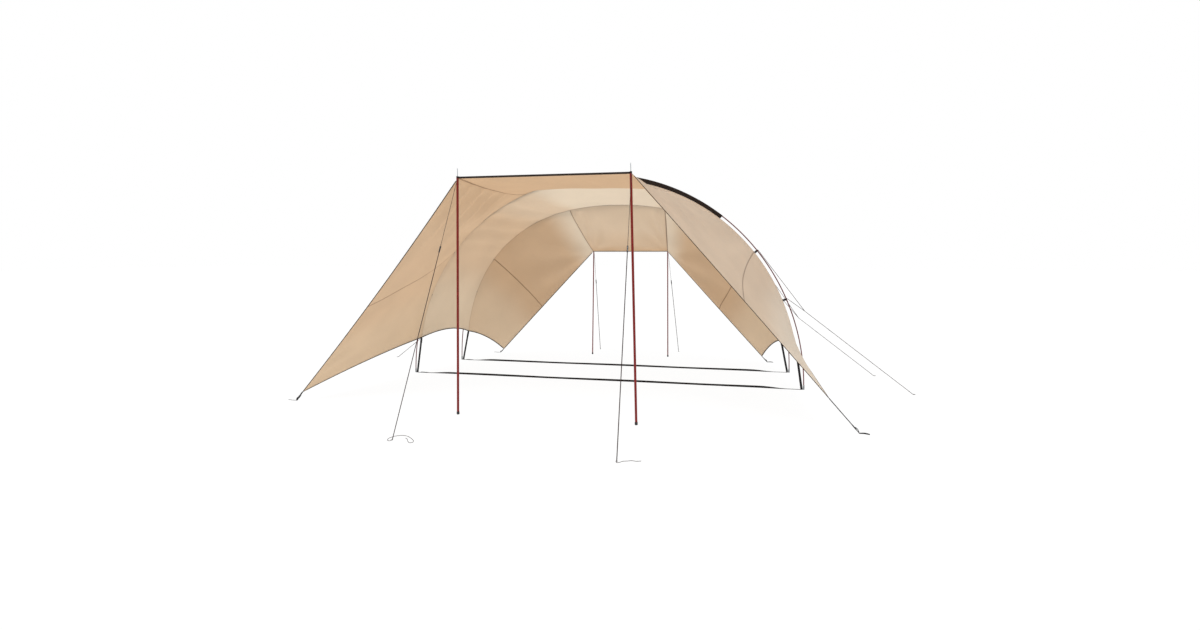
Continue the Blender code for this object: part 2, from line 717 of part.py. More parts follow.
def smooth_track(route, spacing):
    """Points at an even spacing on a smooth curve through the route's own points."""
    fine = []
    for i in range(len(route) - 1):
        before = route[max(i - 1, 0)]
        after = route[min(i + 2, len(route) - 1)]
        start, end = route[i], route[i + 1]
        fine += geometry.interpolate_bezier(start, start + (end - before) / 6.0,
                                            end - (after - start) / 6.0, end, 24)[:-1]
    fine.append(route[-1])
    reached = [0.0]
    for before, after in zip(fine, fine[1:]):
        reached.append(reached[-1] + (after - before).length)
    count = round(reached[-1] / spacing)
    points = []
    at = 0
    for i in range(count + 1):
        wanted = reached[-1] * i / count
        while at < len(fine) - 2 and reached[at + 1] < wanted:
            at += 1
        share = (wanted - reached[at]) / (reached[at + 1] - reached[at])
        points.append(blend(fine[at], fine[at + 1], share))
    return points


def build_guy_tails(exits):
    for word, route in TAIL_ROUTE.items():
        before, end = exits[word]
        away = (end - before).normalized()
        ground = [Vector((x, FRONT_Y + y, CORD_RADIUS)) for x, y in route]
        for reach in (0.012, GAP):
            ground.insert(0, Vector((end.x + away.x * reach, end.y + away.y * reach, CORD_RADIUS)))
        tube(f"front_guy_tail_{word}", smooth_track(ground, TAIL_SPACING), CORD_RADIUS, "guy_cord")


build_canopy()
build_poles()
build_arches()
build_sleeves()
build_clips()
build_bindings()
build_ground_straps()
build_uplift_straps()
build_corner_straps()
front_exits = build_end_guys()
build_side_guys()
build_guy_tails(front_exits)
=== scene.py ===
import math

import bmesh
import bpy
from mathutils import Matrix, Vector, geometry, noise


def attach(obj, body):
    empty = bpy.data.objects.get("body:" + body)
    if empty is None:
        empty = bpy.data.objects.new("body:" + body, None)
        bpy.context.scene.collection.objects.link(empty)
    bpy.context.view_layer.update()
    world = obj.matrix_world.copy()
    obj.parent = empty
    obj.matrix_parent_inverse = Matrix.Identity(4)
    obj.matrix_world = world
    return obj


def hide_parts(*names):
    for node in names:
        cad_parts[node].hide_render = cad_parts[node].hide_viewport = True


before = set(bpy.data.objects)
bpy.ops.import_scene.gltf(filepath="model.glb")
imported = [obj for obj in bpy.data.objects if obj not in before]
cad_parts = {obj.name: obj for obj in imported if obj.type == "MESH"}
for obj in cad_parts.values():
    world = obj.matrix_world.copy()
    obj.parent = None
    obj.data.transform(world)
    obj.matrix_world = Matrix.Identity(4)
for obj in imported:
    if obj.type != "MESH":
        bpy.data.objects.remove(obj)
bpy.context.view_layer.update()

bpy.ops.object.select_all(action="DESELECT")
sides = (("Left", -1.0), ("Right", 1.0))

# camera: eye height of somebody standing, a little right of the middle
cameraSettings = {"place": (1.9393, -7.581, 1.5144), "turn": (84.82, 0.0, 13.66), "lens": 20.4, "sensor": 36.0}
cameraData = bpy.data.cameras.new("studioCamera")
cameraData.lens = cameraSettings["lens"]
cameraData.sensor_width = cameraSettings["sensor"]
studioCamera = bpy.data.objects.new("studioCamera", cameraData)
studioCamera.location = cameraSettings["place"]
studioCamera.rotation_euler = [math.radians(angle) for angle in cameraSettings["turn"]]
bpy.context.scene.collection.objects.link(studioCamera)
bpy.context.scene.camera = studioCamera
bpy.context.scene.view_settings.view_transform = "Standard"
print("camera set")


# small helpers for materials
def linearColour(hexText):
    channels = [int(hexText[i:i + 2], 16) / 255.0 for i in (1, 3, 5)]
    return tuple(c / 12.92 if c <= 0.04045 else ((c + 0.055) / 1.055) ** 2.4 for c in channels) + (1.0,)


def addNode(tree, kind, settings=None, inputs=None):
    node = tree.nodes.new(kind)
    for key, value in (settings or {}).items():
        setattr(node, key, value)
    for key, value in (inputs or {}).items():
        if isinstance(value, bpy.types.NodeSocket):
            tree.links.new(value, node.inputs[key])
        else:
            node.inputs[key].default_value = value
    return node


def newMaterial(name, colour, roughness, **sockets):
    material = bpy.data.materials.new(name)
    material.use_nodes = True
    shader = material.node_tree.nodes["Principled BSDF"]
    shader.inputs["Base Color"].default_value = linearColour(colour)
    shader.inputs["Roughness"].default_value = roughness
    for key, value in sockets.items():
        shader.inputs[key.replace("_", " ")].default_value = value
    material.diffuse_color = linearColour(colour)
    return material, material.node_tree, shader


# woven polyester canopy cloth: matt and sandy, it lets warm daylight through; painted light and shade: its colour is
# painted paler on the bay crown and the lower outer flaps, darker on the visor and rear flaps; a seam is three layers
# thick and lets less light through
clothLook = {"deepColour": "#B4A48E", "paleColour": "#CED9DA", "seamColour": "#86694A",
             "deepGlow": "#E7CDB1", "paleGlow": "#FCF1E1", "seamGlow": "#7A5233",
             "translucent": 0.65, "threadSpacing": 0.004}


def canopyClothMaterial():
    material, tree, shader = newMaterial("wovenPolyesterSand", clothLook["paleColour"], 0.72, Sheen_Weight=0.04,
                                         Sheen_Roughness=0.5, Specular_IOR_Level=0.2)
    uv = addNode(tree, "ShaderNodeUVMap", {"uv_map": "clothUV"})
    layers = addNode(tree, "ShaderNodeAttribute", {"attribute_name": "clothLayers"})
    paintedLightShade = addNode(tree, "ShaderNodeAttribute", {"attribute_name": "clothPaintedLightShade"})
    coords = addNode(tree, "ShaderNodeTexCoord")
    # slow colour drift of a dyed roll, about 40 cm across
    drift = addNode(tree, "ShaderNodeTexNoise", None, {"Vector": coords.outputs["Object"], "Scale": 2.4,
                                                       "Detail": 3.0, "Roughness": 0.5})
    tone = addNode(tree, "ShaderNodeMapRange", None, {"Value": drift.outputs["Fac"], "From Min": 0.3, "From Max": 0.7,
                                                      "To Min": 0.975, "To Max": 1.02})
    # threads of 0.3 mm would not show, so warp and weft are drawn every 4 mm
    weave = []
    for direction in ("X", "Y"):
        weave.append(addNode(tree, "ShaderNodeTexWave", {"wave_type": "BANDS", "bands_direction": direction},
                             {"Vector": uv.outputs["UV"], "Scale": 0.314 / clothLook["threadSpacing"],
                              "Distortion": 0.6, "Detail": 1.0, "Detail Scale": 2.0}))
    threads = addNode(tree, "ShaderNodeMath", {"operation": "MULTIPLY"},
                      {0: weave[0].outputs["Fac"], 1: weave[1].outputs["Fac"]})
    slub = addNode(tree, "ShaderNodeMapRange", None, {"Value": threads.outputs[0], "To Min": 0.985, "To Max": 1.012})
    shade = addNode(tree, "ShaderNodeMath", {"operation": "MULTIPLY"},
                    {0: tone.outputs["Result"], 1: slub.outputs["Result"]})
    # colour and light let through are each mixed from a deep colour (painted shade) and a pale colour (painted light)
    # by the painted light and shade attribute, then darkened on seams
    toned = {}
    for part in ("Colour", "Glow"):
        litAndShaded = addNode(tree, "ShaderNodeMix", {"data_type": "RGBA"},
                       {0: paintedLightShade.outputs["Fac"], 6: linearColour(clothLook["deep" + part]),
                        7: linearColour(clothLook["pale" + part])})
        sewn = addNode(tree, "ShaderNodeMix", {"data_type": "RGBA"},
                       {0: layers.outputs["Fac"], 6: litAndShaded.outputs[2], 7: linearColour(clothLook["seam" + part])})
        toned[part] = addNode(tree, "ShaderNodeVectorMath", {"operation": "SCALE"},
                              {0: sewn.outputs[2], "Scale": shade.outputs[0]})
    tree.links.new(toned["Colour"].outputs[0], shader.inputs["Base Color"])
    glow = addNode(tree, "ShaderNodeBsdfTranslucent", None, {"Color": toned["Glow"].outputs[0]})
    bump = addNode(tree, "ShaderNodeBump", None, {"Height": threads.outputs[0], "Strength": 0.12, "Distance": 0.0006})
    tree.links.new(bump.outputs["Normal"], shader.inputs["Normal"])
    both = addNode(tree, "ShaderNodeMixShader", None, {0: clothLook["translucent"], 1: shader.outputs[0],
                                                       2: glow.outputs[0]})
    tree.links.new(both.outputs[0], tree.nodes["Material Output"].inputs["Surface"])
    return material


def ribbedBandMaterial(name, colour, ribSpacing, roughness=0.8):
    # woven narrow band: ribs run across it
    material, tree, shader = newMaterial(name, colour, roughness, Specular_IOR_Level=0.2)
    uv = addNode(tree, "ShaderNodeUVMap", {"uv_map": "bandUV"})
    ribs = addNode(tree, "ShaderNodeTexWave", {"wave_type": "BANDS", "bands_direction": "Y"},
                   {"Vector": uv.outputs["UV"], "Scale": 0.314 / ribSpacing, "Distortion": 0.3, "Detail": 1.0})
    twill = addNode(tree, "ShaderNodeTexWave", {"wave_type": "BANDS", "bands_direction": "DIAGONAL"},
                    {"Vector": uv.outputs["UV"], "Scale": 0.25 / ribSpacing, "Distortion": 0.4})
    height = addNode(tree, "ShaderNodeMath", {"operation": "ADD"}, {0: ribs.outputs["Fac"], 1: twill.outputs["Fac"]})
    worn = addNode(tree, "ShaderNodeTexNoise", None, {"Vector": uv.outputs["UV"], "Scale": 35.0, "Detail": 4.0})
    dust = addNode(tree, "ShaderNodeMapRange", None, {"Value": worn.outputs["Fac"], "From Min": 0.35, "From Max": 0.75,
                                                      "To Min": 0.85, "To Max": 1.35})
    tinted = addNode(tree, "ShaderNodeVectorMath", {"operation": "SCALE"},
                     {0: linearColour(colour)[:3], "Scale": dust.outputs["Result"]})
    tree.links.new(tinted.outputs[0], shader.inputs["Base Color"])
    bump = addNode(tree, "ShaderNodeBump", None, {"Height": height.outputs[0], "Strength": 0.6, "Distance": 0.0005})
    tree.links.new(bump.outputs["Normal"], shader.inputs["Normal"])
    return material


def cordMaterial():
    # braided polyester guy line: two strands of the braid cross every few millimetres
    material, tree, shader = newMaterial("braidedPolyesterCord", "#3A2826", 0.8)
    uv = addNode(tree, "ShaderNodeUVMap", {"uv_map": "bandUV"})
    strands = []
    for turn in (45.0, -45.0):
        aim = addNode(tree, "ShaderNodeMapping", None, {"Vector": uv.outputs["UV"],
                                                        "Rotation": (0.0, 0.0, math.radians(turn))})
        strands.append(addNode(tree, "ShaderNodeTexWave", {"wave_type": "BANDS", "bands_direction": "X"},
                               {"Vector": aim.outputs[0], "Scale": 0.314 / 0.0022, "Distortion": 0.0}))
    braid = addNode(tree, "ShaderNodeMath", {"operation": "MULTIPLY"},
                    {0: strands[0].outputs["Fac"], 1: strands[1].outputs["Fac"]})
    fleck = addNode(tree, "ShaderNodeMix", {"data_type": "RGBA"},
                    {0: braid.outputs[0], 6: linearColour("#241A19"), 7: linearColour("#4E3632")})
    tree.links.new(fleck.outputs[2], shader.inputs["Base Color"])
    bump = addNode(tree, "ShaderNodeBump", None, {"Height": braid.outputs[0], "Strength": 0.7, "Distance": 0.0006})
    tree.links.new(bump.outputs["Normal"], shader.inputs["Normal"])
    return material


def hardMaterial(name, colour, roughness, grain, bumpDepth, roughSpread=0.08, **sockets):
    # a hard surface with a fine grain and patches that have been handled more
    material, tree, shader = newMaterial(name, colour, roughness, **sockets)
    coords = addNode(tree, "ShaderNodeTexCoord")
    fine = addNode(tree, "ShaderNodeTexNoise", None, {"Vector": coords.outputs["Object"], "Scale": 1.0 / grain,
                                                      "Detail": 3.0})
    slow = addNode(tree, "ShaderNodeTexNoise", None, {"Vector": coords.outputs["Object"], "Scale": 9.0,
                                                      "Detail": 4.0})
    polish = addNode(tree, "ShaderNodeMapRange", None, {"Value": slow.outputs["Fac"], "From Min": 0.3,
                                                        "From Max": 0.7, "To Min": max(roughness - roughSpread, 0.05),
                                                        "To Max": roughness + roughSpread})
    tree.links.new(polish.outputs["Result"], shader.inputs["Roughness"])
    tone = addNode(tree, "ShaderNodeMapRange", None, {"Value": slow.outputs["Fac"], "To Min": 0.9, "To Max": 1.12})
    tinted = addNode(tree, "ShaderNodeVectorMath", {"operation": "SCALE"},
                     {0: linearColour(colour)[:3], "Scale": tone.outputs["Result"]})
    tree.links.new(tinted.outputs[0], shader.inputs["Base Color"])
    bump = addNode(tree, "ShaderNodeBump", None, {"Height": fine.outputs["Fac"], "Strength": 0.35,
                                                  "Distance": bumpDepth})
    tree.links.new(bump.outputs["Normal"], shader.inputs["Normal"])
    return material


canopyCloth = canopyClothMaterial()
# woven polyester sleeve cloth, dark brown, the same weave as a rucksack: matt with a soft sheen
sleeveCloth = ribbedBandMaterial("wovenSleeveCloth", "#241B17", 0.004, 0.8)
# grosgrain edge tape: fine ribs across, brown
edgeTape = ribbedBandMaterial("grosgrainTape", "#2B2019", 0.003)
# polypropylene webbing, black: coarser ribs
strapWebbing = ribbedBandMaterial("polypropyleneWebbing", "#1B1A1B", 0.004)
guyCord = cordMaterial()
# anodised and polished aluminium tube: deep red with pale reflections towards its edges
anodisedRed = hardMaterial("anodisedAluminiumRed", "#741512", 0.24, 0.002, 0.00005, 0.05, Metallic=0.5,
                           Specular_IOR_Level=0.4)
# pultruded fibreglass rod, dark red: resin gloss over long fibres
fibreglassRed = hardMaterial("pultrudedFibreglassRed", "#571116", 0.35, 0.0015, 0.0001, Specular_IOR_Level=0.35)
# zinc plated steel pins and eyelets
platedSteel = hardMaterial("zincPlatedSteel", "#A9ADB0", 0.33, 0.001, 0.00005, Metallic=1.0)
# drawn aluminium ferrules: grey and duller than the tubes
drawnAluminium = hardMaterial("drawnAluminiumGrey", "#8F9294", 0.42, 0.001, 0.00008, Metallic=1.0)
# moulded rubber feet
mouldedRubber = hardMaterial("mouldedRubberBlack", "#1C1B1B", 0.68, 0.0015, 0.0004)
# injection moulded acetal buckles, clips and sliders
mouldedAcetal = hardMaterial("mouldedAcetalBlack", "#18181A", 0.42, 0.001, 0.0002)
print("materials made")


# small helpers for making pieces
def seat(piece, material, slotName, *nodes):
    # gives a finished piece its material, its body and the nodes it stands for
    piece.data.materials.clear()
    piece.data.materials.append(material)
    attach(piece, "root")
    if nodes:
        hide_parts(*nodes)
    return piece


def linkMesh(name, shape):
    mesh = bpy.data.meshes.new(name)
    shape.to_mesh(mesh)
    shape.free()
    piece = bpy.data.objects.new(name, mesh)
    bpy.context.scene.collection.objects.link(piece)
    return piece


def mirrored(point, side):
    return Vector((point.x * side, point.y, point.z))


def mixed(a, b, share):
    return a.lerp(b, share)


def hump(share):
    return 4.0 * share * (1.0 - share)


def loft(name, rings, uvSize, closedRing=True, capEnds=True):
    # skins rings of points; UV runs round the ring and along the piece, in metres
    shape = bmesh.new()
    uvLayer = shape.loops.layers.uv.new("bandUV")
    rows = [[shape.verts.new(point) for point in ring] for ring in rings]
    count = len(rings[0])
    around = [0.0]
    for i in range(count if closedRing else count - 1):
        around.append(around[-1] + (rings[0][(i + 1) % count] - rings[0][i]).length)
    along = [0.0]
    for before, after in zip(rings, rings[1:]):
        along.append(along[-1] + (sum(after, Vector()) / count - sum(before, Vector()) / count).length)
    for i, (before, after) in enumerate(zip(rows, rows[1:])):
        for j in range(count if closedRing else count - 1):
            k = (j + 1) % count
            face = shape.faces.new((before[j], before[k], after[k], after[j]))
            face.smooth = True
            corners = ((around[j], along[i]), (around[j + 1], along[i]), (around[j + 1], along[i + 1]),
                       (around[j], along[i + 1]))
            for loop, corner in zip(face.loops, corners):
                loop[uvLayer].uv = (corner[0] * uvSize, corner[1] * uvSize)
    if closedRing and capEnds:
        for ring in (rows[0], rows[-1]):
            face = shape.faces.new(ring)
            for loop, vert in zip(face.loops, ring):
                loop[uvLayer].uv = (0.0, 0.0)
    if closedRing:
        bmesh.ops.recalc_face_normals(shape, faces=shape.faces[:])
    return linkMesh(name, shape)


def frames(line):
    # tangent and two cross directions at each point of a line, without twist
    found = []
    side = None
    for i, point in enumerate(line):
        tangent = (line[min(i + 1, len(line) - 1)] - line[max(i - 1, 0)]).normalized()
        if side is None:
            side = tangent.cross(Vector((0, 0, 1)) if abs(tangent.z) < 0.9 else Vector((0, 1, 0))).normalized()
        side = (side - tangent * side.dot(tangent)).normalized()
        found.append((point, tangent, side, tangent.cross(side)))
    return found


def roundCord(name, line, radius, ringSides=10, radii=None):
    rings = []
    for index, (point, tangent, side, lift) in enumerate(frames(line)):
        size = radii[index] if radii else radius
        rings.append([point + (side * math.cos(turn) + lift * math.sin(turn)) * size
                      for turn in [2.0 * math.pi * i / ringSides for i in range(ringSides)]])
    return loft(name, rings, 1.0)


def flatBand(name, stations, width, thickness):
    # a woven band; each station is its centre, the direction across it and its face direction
    rings = []
    corner = min(thickness * 0.35, width * 0.3)
    half, thick = width / 2, thickness / 2
    outline = [(half, -thick + corner), (half, thick - corner), (half - corner, thick), (0.0, thick),
               (-half + corner, thick), (-half, thick - corner), (-half, -thick + corner),
               (-half + corner, -thick), (0.0, -thick), (half - corner, -thick)]
    for centre, across, face in stations:
        rings.append([centre + across * x + face * y for x, y in outline])
    return loft(name, rings, 1.0)


def straightLine(points, spacing):
    # the same corners with points added along each stretch
    line = [points[0].copy()]
    for before, after in zip(points, points[1:]):
        count = max(1, round((after - before).length / spacing))
        line += [mixed(before, after, i / count) for i in range(1, count + 1)]
    return line


def smoothLine(route, spacing):
    # even points on a smooth curve through the route's own points
    fine = []
    for i in range(len(route) - 1):
        before, after = route[max(i - 1, 0)], route[min(i + 2, len(route) - 1)]
        start, end = route[i], route[i + 1]
        fine += geometry.interpolate_bezier(start, start + (end - before) / 6.0,
                                            end - (after - start) / 6.0, end, 24)[:-1]
    fine.append(route[-1])
    reached = [0.0]
    for before, after in zip(fine, fine[1:]):
        reached.append(reached[-1] + (after - before).length)
    count = round(reached[-1] / spacing)
    line, at = [], 0
    for i in range(count + 1):
        wanted = reached[-1] * i / count
        while at < len(fine) - 2 and reached[at + 1] < wanted:
            at += 1
        line.append(mixed(fine[at], fine[at + 1], (wanted - reached[at]) / (reached[at + 1] - reached[at])))
    return line


# loose ends of the front guy lines, lying on the ground
guySettings = {"cordRadius": 0.0020, "sideCordRadius": 0.0026, "groundDrop": 0.00255, "pegLoop": 0.022, "poleStandoff": 0.021,
               "ringRadius": 0.0055, "frontTarget": {"Left": (-0.986, -2.709), "Right": (0.911, -2.832)},
               "rearTarget": {"Left": (-0.580, 2.812), "Right": (0.660, 2.832)}}
tailRoutes = {
    "Left": [(-1.004, -0.972), (-1.018, -0.962), (-1.032, -0.930), (-1.038, -0.885), (-1.018, -0.830),
             (-0.975, -0.800), (-0.925, -0.812), (-0.875, -0.850), (-0.830, -0.895), (-0.797, -0.938),
             (-0.790, -0.975), (-0.808, -0.985), (-0.835, -0.958), (-0.862, -0.920), (-0.885, -0.885),
             (-0.905, -0.872)],
    "Right": [(0.922, -1.102), (0.935, -1.096), (0.946, -1.078), (0.958, -1.060), (0.975, -1.052),
              (0.993, -1.044), (1.010, -1.032), (1.032, -1.034), (1.054, -1.038), (1.085, -1.024)],
}


def guyEnds(word, side):
    # where a front guy line starts on its pole, and where its peg loop ends
    start = Vector((side * 0.803 + guySettings["ringRadius"], -1.768, 0.0))
    x, y = guySettings["frontTarget"][word]
    target = Vector((x, y, guySettings["groundDrop"]))
    away = Vector((target.x - start.x, target.y - start.y, 0.0)).normalized()
    return target, target + away * guySettings["pegLoop"], away


for word, side in sides:
    target, loopEnd, away = guyEnds(word, side)
    rest = guySettings["cordRadius"]
    route = [Vector((loopEnd.x + away.x * reach, loopEnd.y + away.y * reach, rest)) for reach in (0.0005, 0.012)]
    route += [Vector((x, y - 1.768, rest)) for x, y in tailRoutes[word]]
    line = smoothLine(route, 0.0055)
    tail = roundCord("guyTail" + word, line, guySettings["cordRadius"])
    seat(tail, guyCord, "guy_cord", "front_guy_tail_" + word.lower())
print("guy tails laid")


# the canopy's shape: two gables, two arches and the bay between them
frontEnd = {"name": "front", "forward": -1.0, "archY": 0.222, "half": 2.325, "rise": 2.375, "power": 2.06,
            "rodHalf": 2.380, "rodRise": 2.425, "rodPower": 2.02, "hipX": 0.870, "hemZ": 0.455,
            "ridgeX": 0.803, "ridgeY": -1.768, "ridgeZ": 2.200, "corner": (2.740, -1.598, 0.0),
            "topSag": 0.112, "hipSag": 0.040, "edgeBow": 0.060, "hemRise": 0.033, "hemHollow": 0.023,
            "flapSag": 0.050, "sleeveEnd": 1.43, "tipShare": {"Left": 0.955, "Right": 0.865}}
rearEnd = {"name": "rear", "forward": 1.0, "archY": 1.322, "half": 2.170, "rise": 2.150, "power": 2.30,
           "rodHalf": 2.257, "rodRise": 2.200, "rodPower": 2.26, "hipX": 0.640, "hemZ": 0.420,
           "ridgeX": 0.553, "ridgeY": 2.262, "ridgeZ": 1.545, "corner": (1.990, 2.112, 0.0),
           "topSag": 0.030, "hipSag": 0.025, "edgeBow": -0.015, "hemRise": 0.050, "hemHollow": 0.0,
           "flapSag": 0.025, "sleeveEnd": 1.25, "tipShare": {"Left": 0.960, "Right": 0.945}}
baySettings = {"sag": 0.025, "hemRise": 0.034, "midCloth": 0.002}


def onRing(half, rise, power, angle, y):
    share = 2.0 / power
    x = math.copysign(abs(math.cos(angle)) ** share, math.cos(angle)) * half
    return Vector((x, y, abs(math.sin(angle)) ** share * rise))


def onArch(end, angle):
    return onRing(end["half"], end["rise"], end["power"], angle, end["archY"])


def onRod(end, angle):
    return onRing(end["rodHalf"], end["rodRise"], end["rodPower"], angle, end["archY"])


for end in (frontEnd, rearEnd):
    end["hipAngle"] = math.acos((end["hipX"] / end["half"]) ** (end["power"] / 2.0))
    end["hemAngle"] = math.asin((end["hemZ"] / end["rise"]) ** (end["power"] / 2.0))
    end["ridgeEnd"] = Vector((end["ridgeX"], end["ridgeY"], end["ridgeZ"]))
    # the corner straps are not all let out alike, so each cloth corner has its own tip
    end["tips"] = {word: mixed(end["ridgeEnd"], Vector(end["corner"]), share)
                   for word, share in end["tipShare"].items()}


def outerEdge(end, v, word):
    point = mixed(end["ridgeEnd"], end["tips"][word], v)
    point.y += end["edgeBow"] * hump(v)
    return point


def archEdge(end, v):
    return onArch(end, end["hipAngle"] + (end["hemAngle"] - end["hipAngle"]) * v)


def flapPoint(end, u, v, word):
    # a flap, always laid out on the right; the left one is mirrored afterwards
    edge0, edge1 = outerEdge(end, 0.0, word), outerEdge(end, 1.0, word)
    arch0, arch1 = archEdge(end, 0.0), archEdge(end, 1.0)
    hip = mixed(edge0, arch0, u)
    hip.z -= end["hipSag"] * hump(u)
    hem = mixed(edge1, arch1, u)
    hem.z += end["hemRise"] * hump(u)
    hem.x -= end["hemHollow"] * hump(u)
    point = mixed(outerEdge(end, v, word), archEdge(end, v), u) + mixed(hip, hem, v)
    point -= mixed(mixed(edge0, arch0, u), mixed(edge1, arch1, u), v)
    inward = Vector((-point.x, 0.0, -0.6 * point.z)).normalized()
    return point + inward * end["flapSag"] * hump(u) * hump(v)


def topPoint(end, u, s):
    ridge = Vector((end["ridgeX"] * s, end["ridgeY"], end["ridgeZ"]))
    point = mixed(ridge, onArch(end, math.pi / 2 - (math.pi / 2 - end["hipAngle"]) * s), u)
    point.z -= (end["hipSag"] + (end["topSag"] - end["hipSag"]) * (1.0 - s * s)) * hump(u)
    return point


def bayPoint(u, across):
    # across runs from 0 at the crown through 1 at the hip to 2 at the hem
    lift = baySettings["hemRise"] * hump(u)
    ends = []
    for end in (frontEnd, rearEnd):
        angle = math.pi / 2 - (math.pi / 2 - end["hipAngle"]) * min(across, 1.0)
        ends.append(onArch(end, angle - (end["hipAngle"] - end["hemAngle"] - lift) * max(across - 1.0, 0.0)))
    point = mixed(ends[0], ends[1], u)
    return point + Vector((-point.x, 0.0, -point.z)).normalized() * baySettings["sag"] * hump(u)


crossSeam = {"row": 0.54, "places": (0.577, 0.500, 0.550, 0.560)}  # at the front edge, both arches, the rear edge


def seamRow(row, depth):
    # moves the rows so that the flaps' cross seams lie on one of them
    before = min(int(depth), 2)
    places = crossSeam["places"]
    seam = places[before] + (places[before + 1] - places[before]) * (depth - before)
    if row < crossSeam["row"]:
        return seam * row / crossSeam["row"]
    return seam + (1.0 - seam) * (row - crossSeam["row"]) / (1.0 - crossSeam["row"])


def sailPoint(across, depth):
    # the whole canopy: across -2 to 2 from hem to hem, depth 0 to 3 from front edge to rear edge
    side, reach = (-1.0 if across < 0.0 else 1.0), abs(across)
    if reach > 1.0:
        reach = 1.0 + seamRow(reach - 1.0, depth)
    if 1.0 <= depth <= 2.0:
        return mirrored(bayPoint(depth - 1.0, reach), side)
    end, u = (frontEnd, depth) if depth < 1.0 else (rearEnd, 3.0 - depth)
    if reach <= 1.0:
        return mirrored(topPoint(end, u, reach), side)
    return mirrored(flapPoint(end, u, reach - 1.0, "Left" if side < 0.0 else "Right"), side)


def smoothStep(low, high, value):
    share = min(max((value - low) / (high - low), 0.0), 1.0)
    return share * share * (3.0 - 2.0 * share)


foldSettings = {"hipFolds": 0.022, "ridgePuckers": 0.0035, "bayDrape": 0.010, "poleFan": 0.022, "outerFolds": 0.012,
                "cornerPull": 0.006, "drift": 0.012, "seamLift": 0.0007}


def clothFold(across, depth, point):
    # how far the cloth stands off its smooth shape, in metres along its outward side
    side, reach = (-1.0 if across < 0.0 else 1.0), abs(across)
    fold = 0.0
    row = seamRow(reach - 1.0, depth) if reach > 1.0 else 0.0
    held = min(1.0, 12.0 * abs(depth - 1.0), 12.0 * abs(depth - 2.0), 14.0 * depth, 14.0 * (3.0 - depth))
    held *= min(1.0, 14.0 * (2.0 - reach))
    if depth < 1.0 and reach > 1.0:
        # slack below the hip: folds that run down from it, dying out a third of the way down
        strength = smoothStep(0.02, 0.12, depth) * (1.0 - smoothStep(0.60, 0.90, depth))
        strength *= min(1.0, row * 20.0) * (1.0 - smoothStep(0.12, 0.36, row))
        wave = math.sin(2.0 * math.pi * (depth * 6.5 + 0.25 * side + row * 0.9))
        fold += foldSettings["hipFolds"] * strength * (abs(wave) ** 1.6 * math.copysign(1.0, wave))
        # drag lines from the arch that gather towards the cross seam
        strength = smoothStep(0.02, 0.12, row) * (1.0 - smoothStep(0.40, 0.52, row)) * smoothStep(0.15, 0.5, depth)
        aim = (row - 0.50) / (0.25 + abs(depth - 1.25))
        fold += foldSettings["outerFolds"] * strength * math.sin(17.0 * aim + 1.3 * side)
        # the pull of the corner strap
        turn = math.atan2(1.0 - row, 0.25 + depth)
        strength = smoothStep(0.45, 0.9, row) * (1.0 - smoothStep(0.25, 0.7, depth))
        fold += foldSettings["cornerPull"] * strength * math.sin(turn * 19.0 + 0.7 * side)
    elif depth < 1.0:
        # small puckers behind the ridge band
        strength = smoothStep(0.0, 0.03, depth) * (1.0 - smoothStep(0.08, 0.45, depth))
        fold += foldSettings["ridgePuckers"] * strength * math.sin(across * 47.0 + 2.0 * math.sin(across * 9.0))
    if 1.0 < depth < 2.0 and reach > 0.9:
        # the bay hangs in long shallow folds from arch to arch
        strength = smoothStep(0.95, 1.10, reach) * (1.0 - smoothStep(1.35, 1.60, reach))
        fold += foldSettings["bayDrape"] * strength * math.sin(reach * 52.0 + 3.0 * (depth - 1.0) + side)
    if depth > 2.0:
        # folds that fan out from the rear pole tops
        dx, dy = (reach - 1.0) * 1.6, 3.0 - depth
        distance = math.hypot(dx, dy)
        if distance > 0.001:
            turn = math.atan2(dx, dy)
            strength = smoothStep(0.08, 0.3, distance) * (1.0 - smoothStep(0.7, 1.3, distance))
            fold += foldSettings["poleFan"] * strength * math.sin(turn * 11.0 + side) * distance
    slow = noise.noise(Vector((point.x * 1.3, point.y * 1.5, point.z * 1.3 + 4.0)))
    quick = noise.noise(Vector((point.x * 3.4 + 7.0, point.y * 3.0, point.z * 3.4)))
    return (fold + foldSettings["drift"] * (slow + 0.45 * quick)) * held


def gridStops(start, stop, count, seams, halfSeam, fade):
    # even grid stops from start to stop, with close ones along each seam
    stops = {round(start + (stop - start) * i / count, 5) for i in range(count + 1)}
    for seam in seams:
        stops = {s for s in stops if abs(s - seam) > 2.2 * (halfSeam + fade)}
        stops |= {seam, seam - halfSeam, seam + halfSeam, seam - halfSeam - fade, seam + halfSeam + fade}
    return sorted(s for s in stops if start <= s <= stop)


canopyGrid = {"topColumns": 26, "flapRows": 84, "gableDepth": 64, "bayDepth": 36, "rearDepth": 32,
              "seamHalf": 0.006, "seamFade": 0.0015, "thickness": 0.0012}
seamShow = {"arch": 0.14, "frontHip": 0.35, "rearHip": 0.55, "frontCross": 0.40, "rearCross": 0.48}


def acrossStops():
    half, fade = canopyGrid["seamHalf"], canopyGrid["seamFade"]
    top = gridStops(0.0, 1.0, canopyGrid["topColumns"], (), 0.0, 0.0)
    top = [s for s in top if s < 1.0 - 0.03] + [1.0 - (half + fade) / 0.87, 1.0 - half / 0.87]
    flap = gridStops(0.0, 1.0, canopyGrid["flapRows"], (0.0, crossSeam["row"]), half / 2.2, fade / 2.2)
    found = top + [1.0 + s for s in flap]
    return [-s for s in reversed(found[1:])] + found


def depthStops():
    half, fade = canopyGrid["seamHalf"], canopyGrid["seamFade"]
    front = gridStops(0.0, 1.0, canopyGrid["gableDepth"], (1.0,), half / 2.0, fade / 2.0)
    bay = gridStops(1.0, 2.0, canopyGrid["bayDepth"], (1.0, 2.0), half / 1.1, fade / 1.1)
    rear = gridStops(2.0, 3.0, canopyGrid["rearDepth"], (2.0,), half / 0.95, fade / 0.95)
    return sorted(set(front) | set(bay) | set(rear))


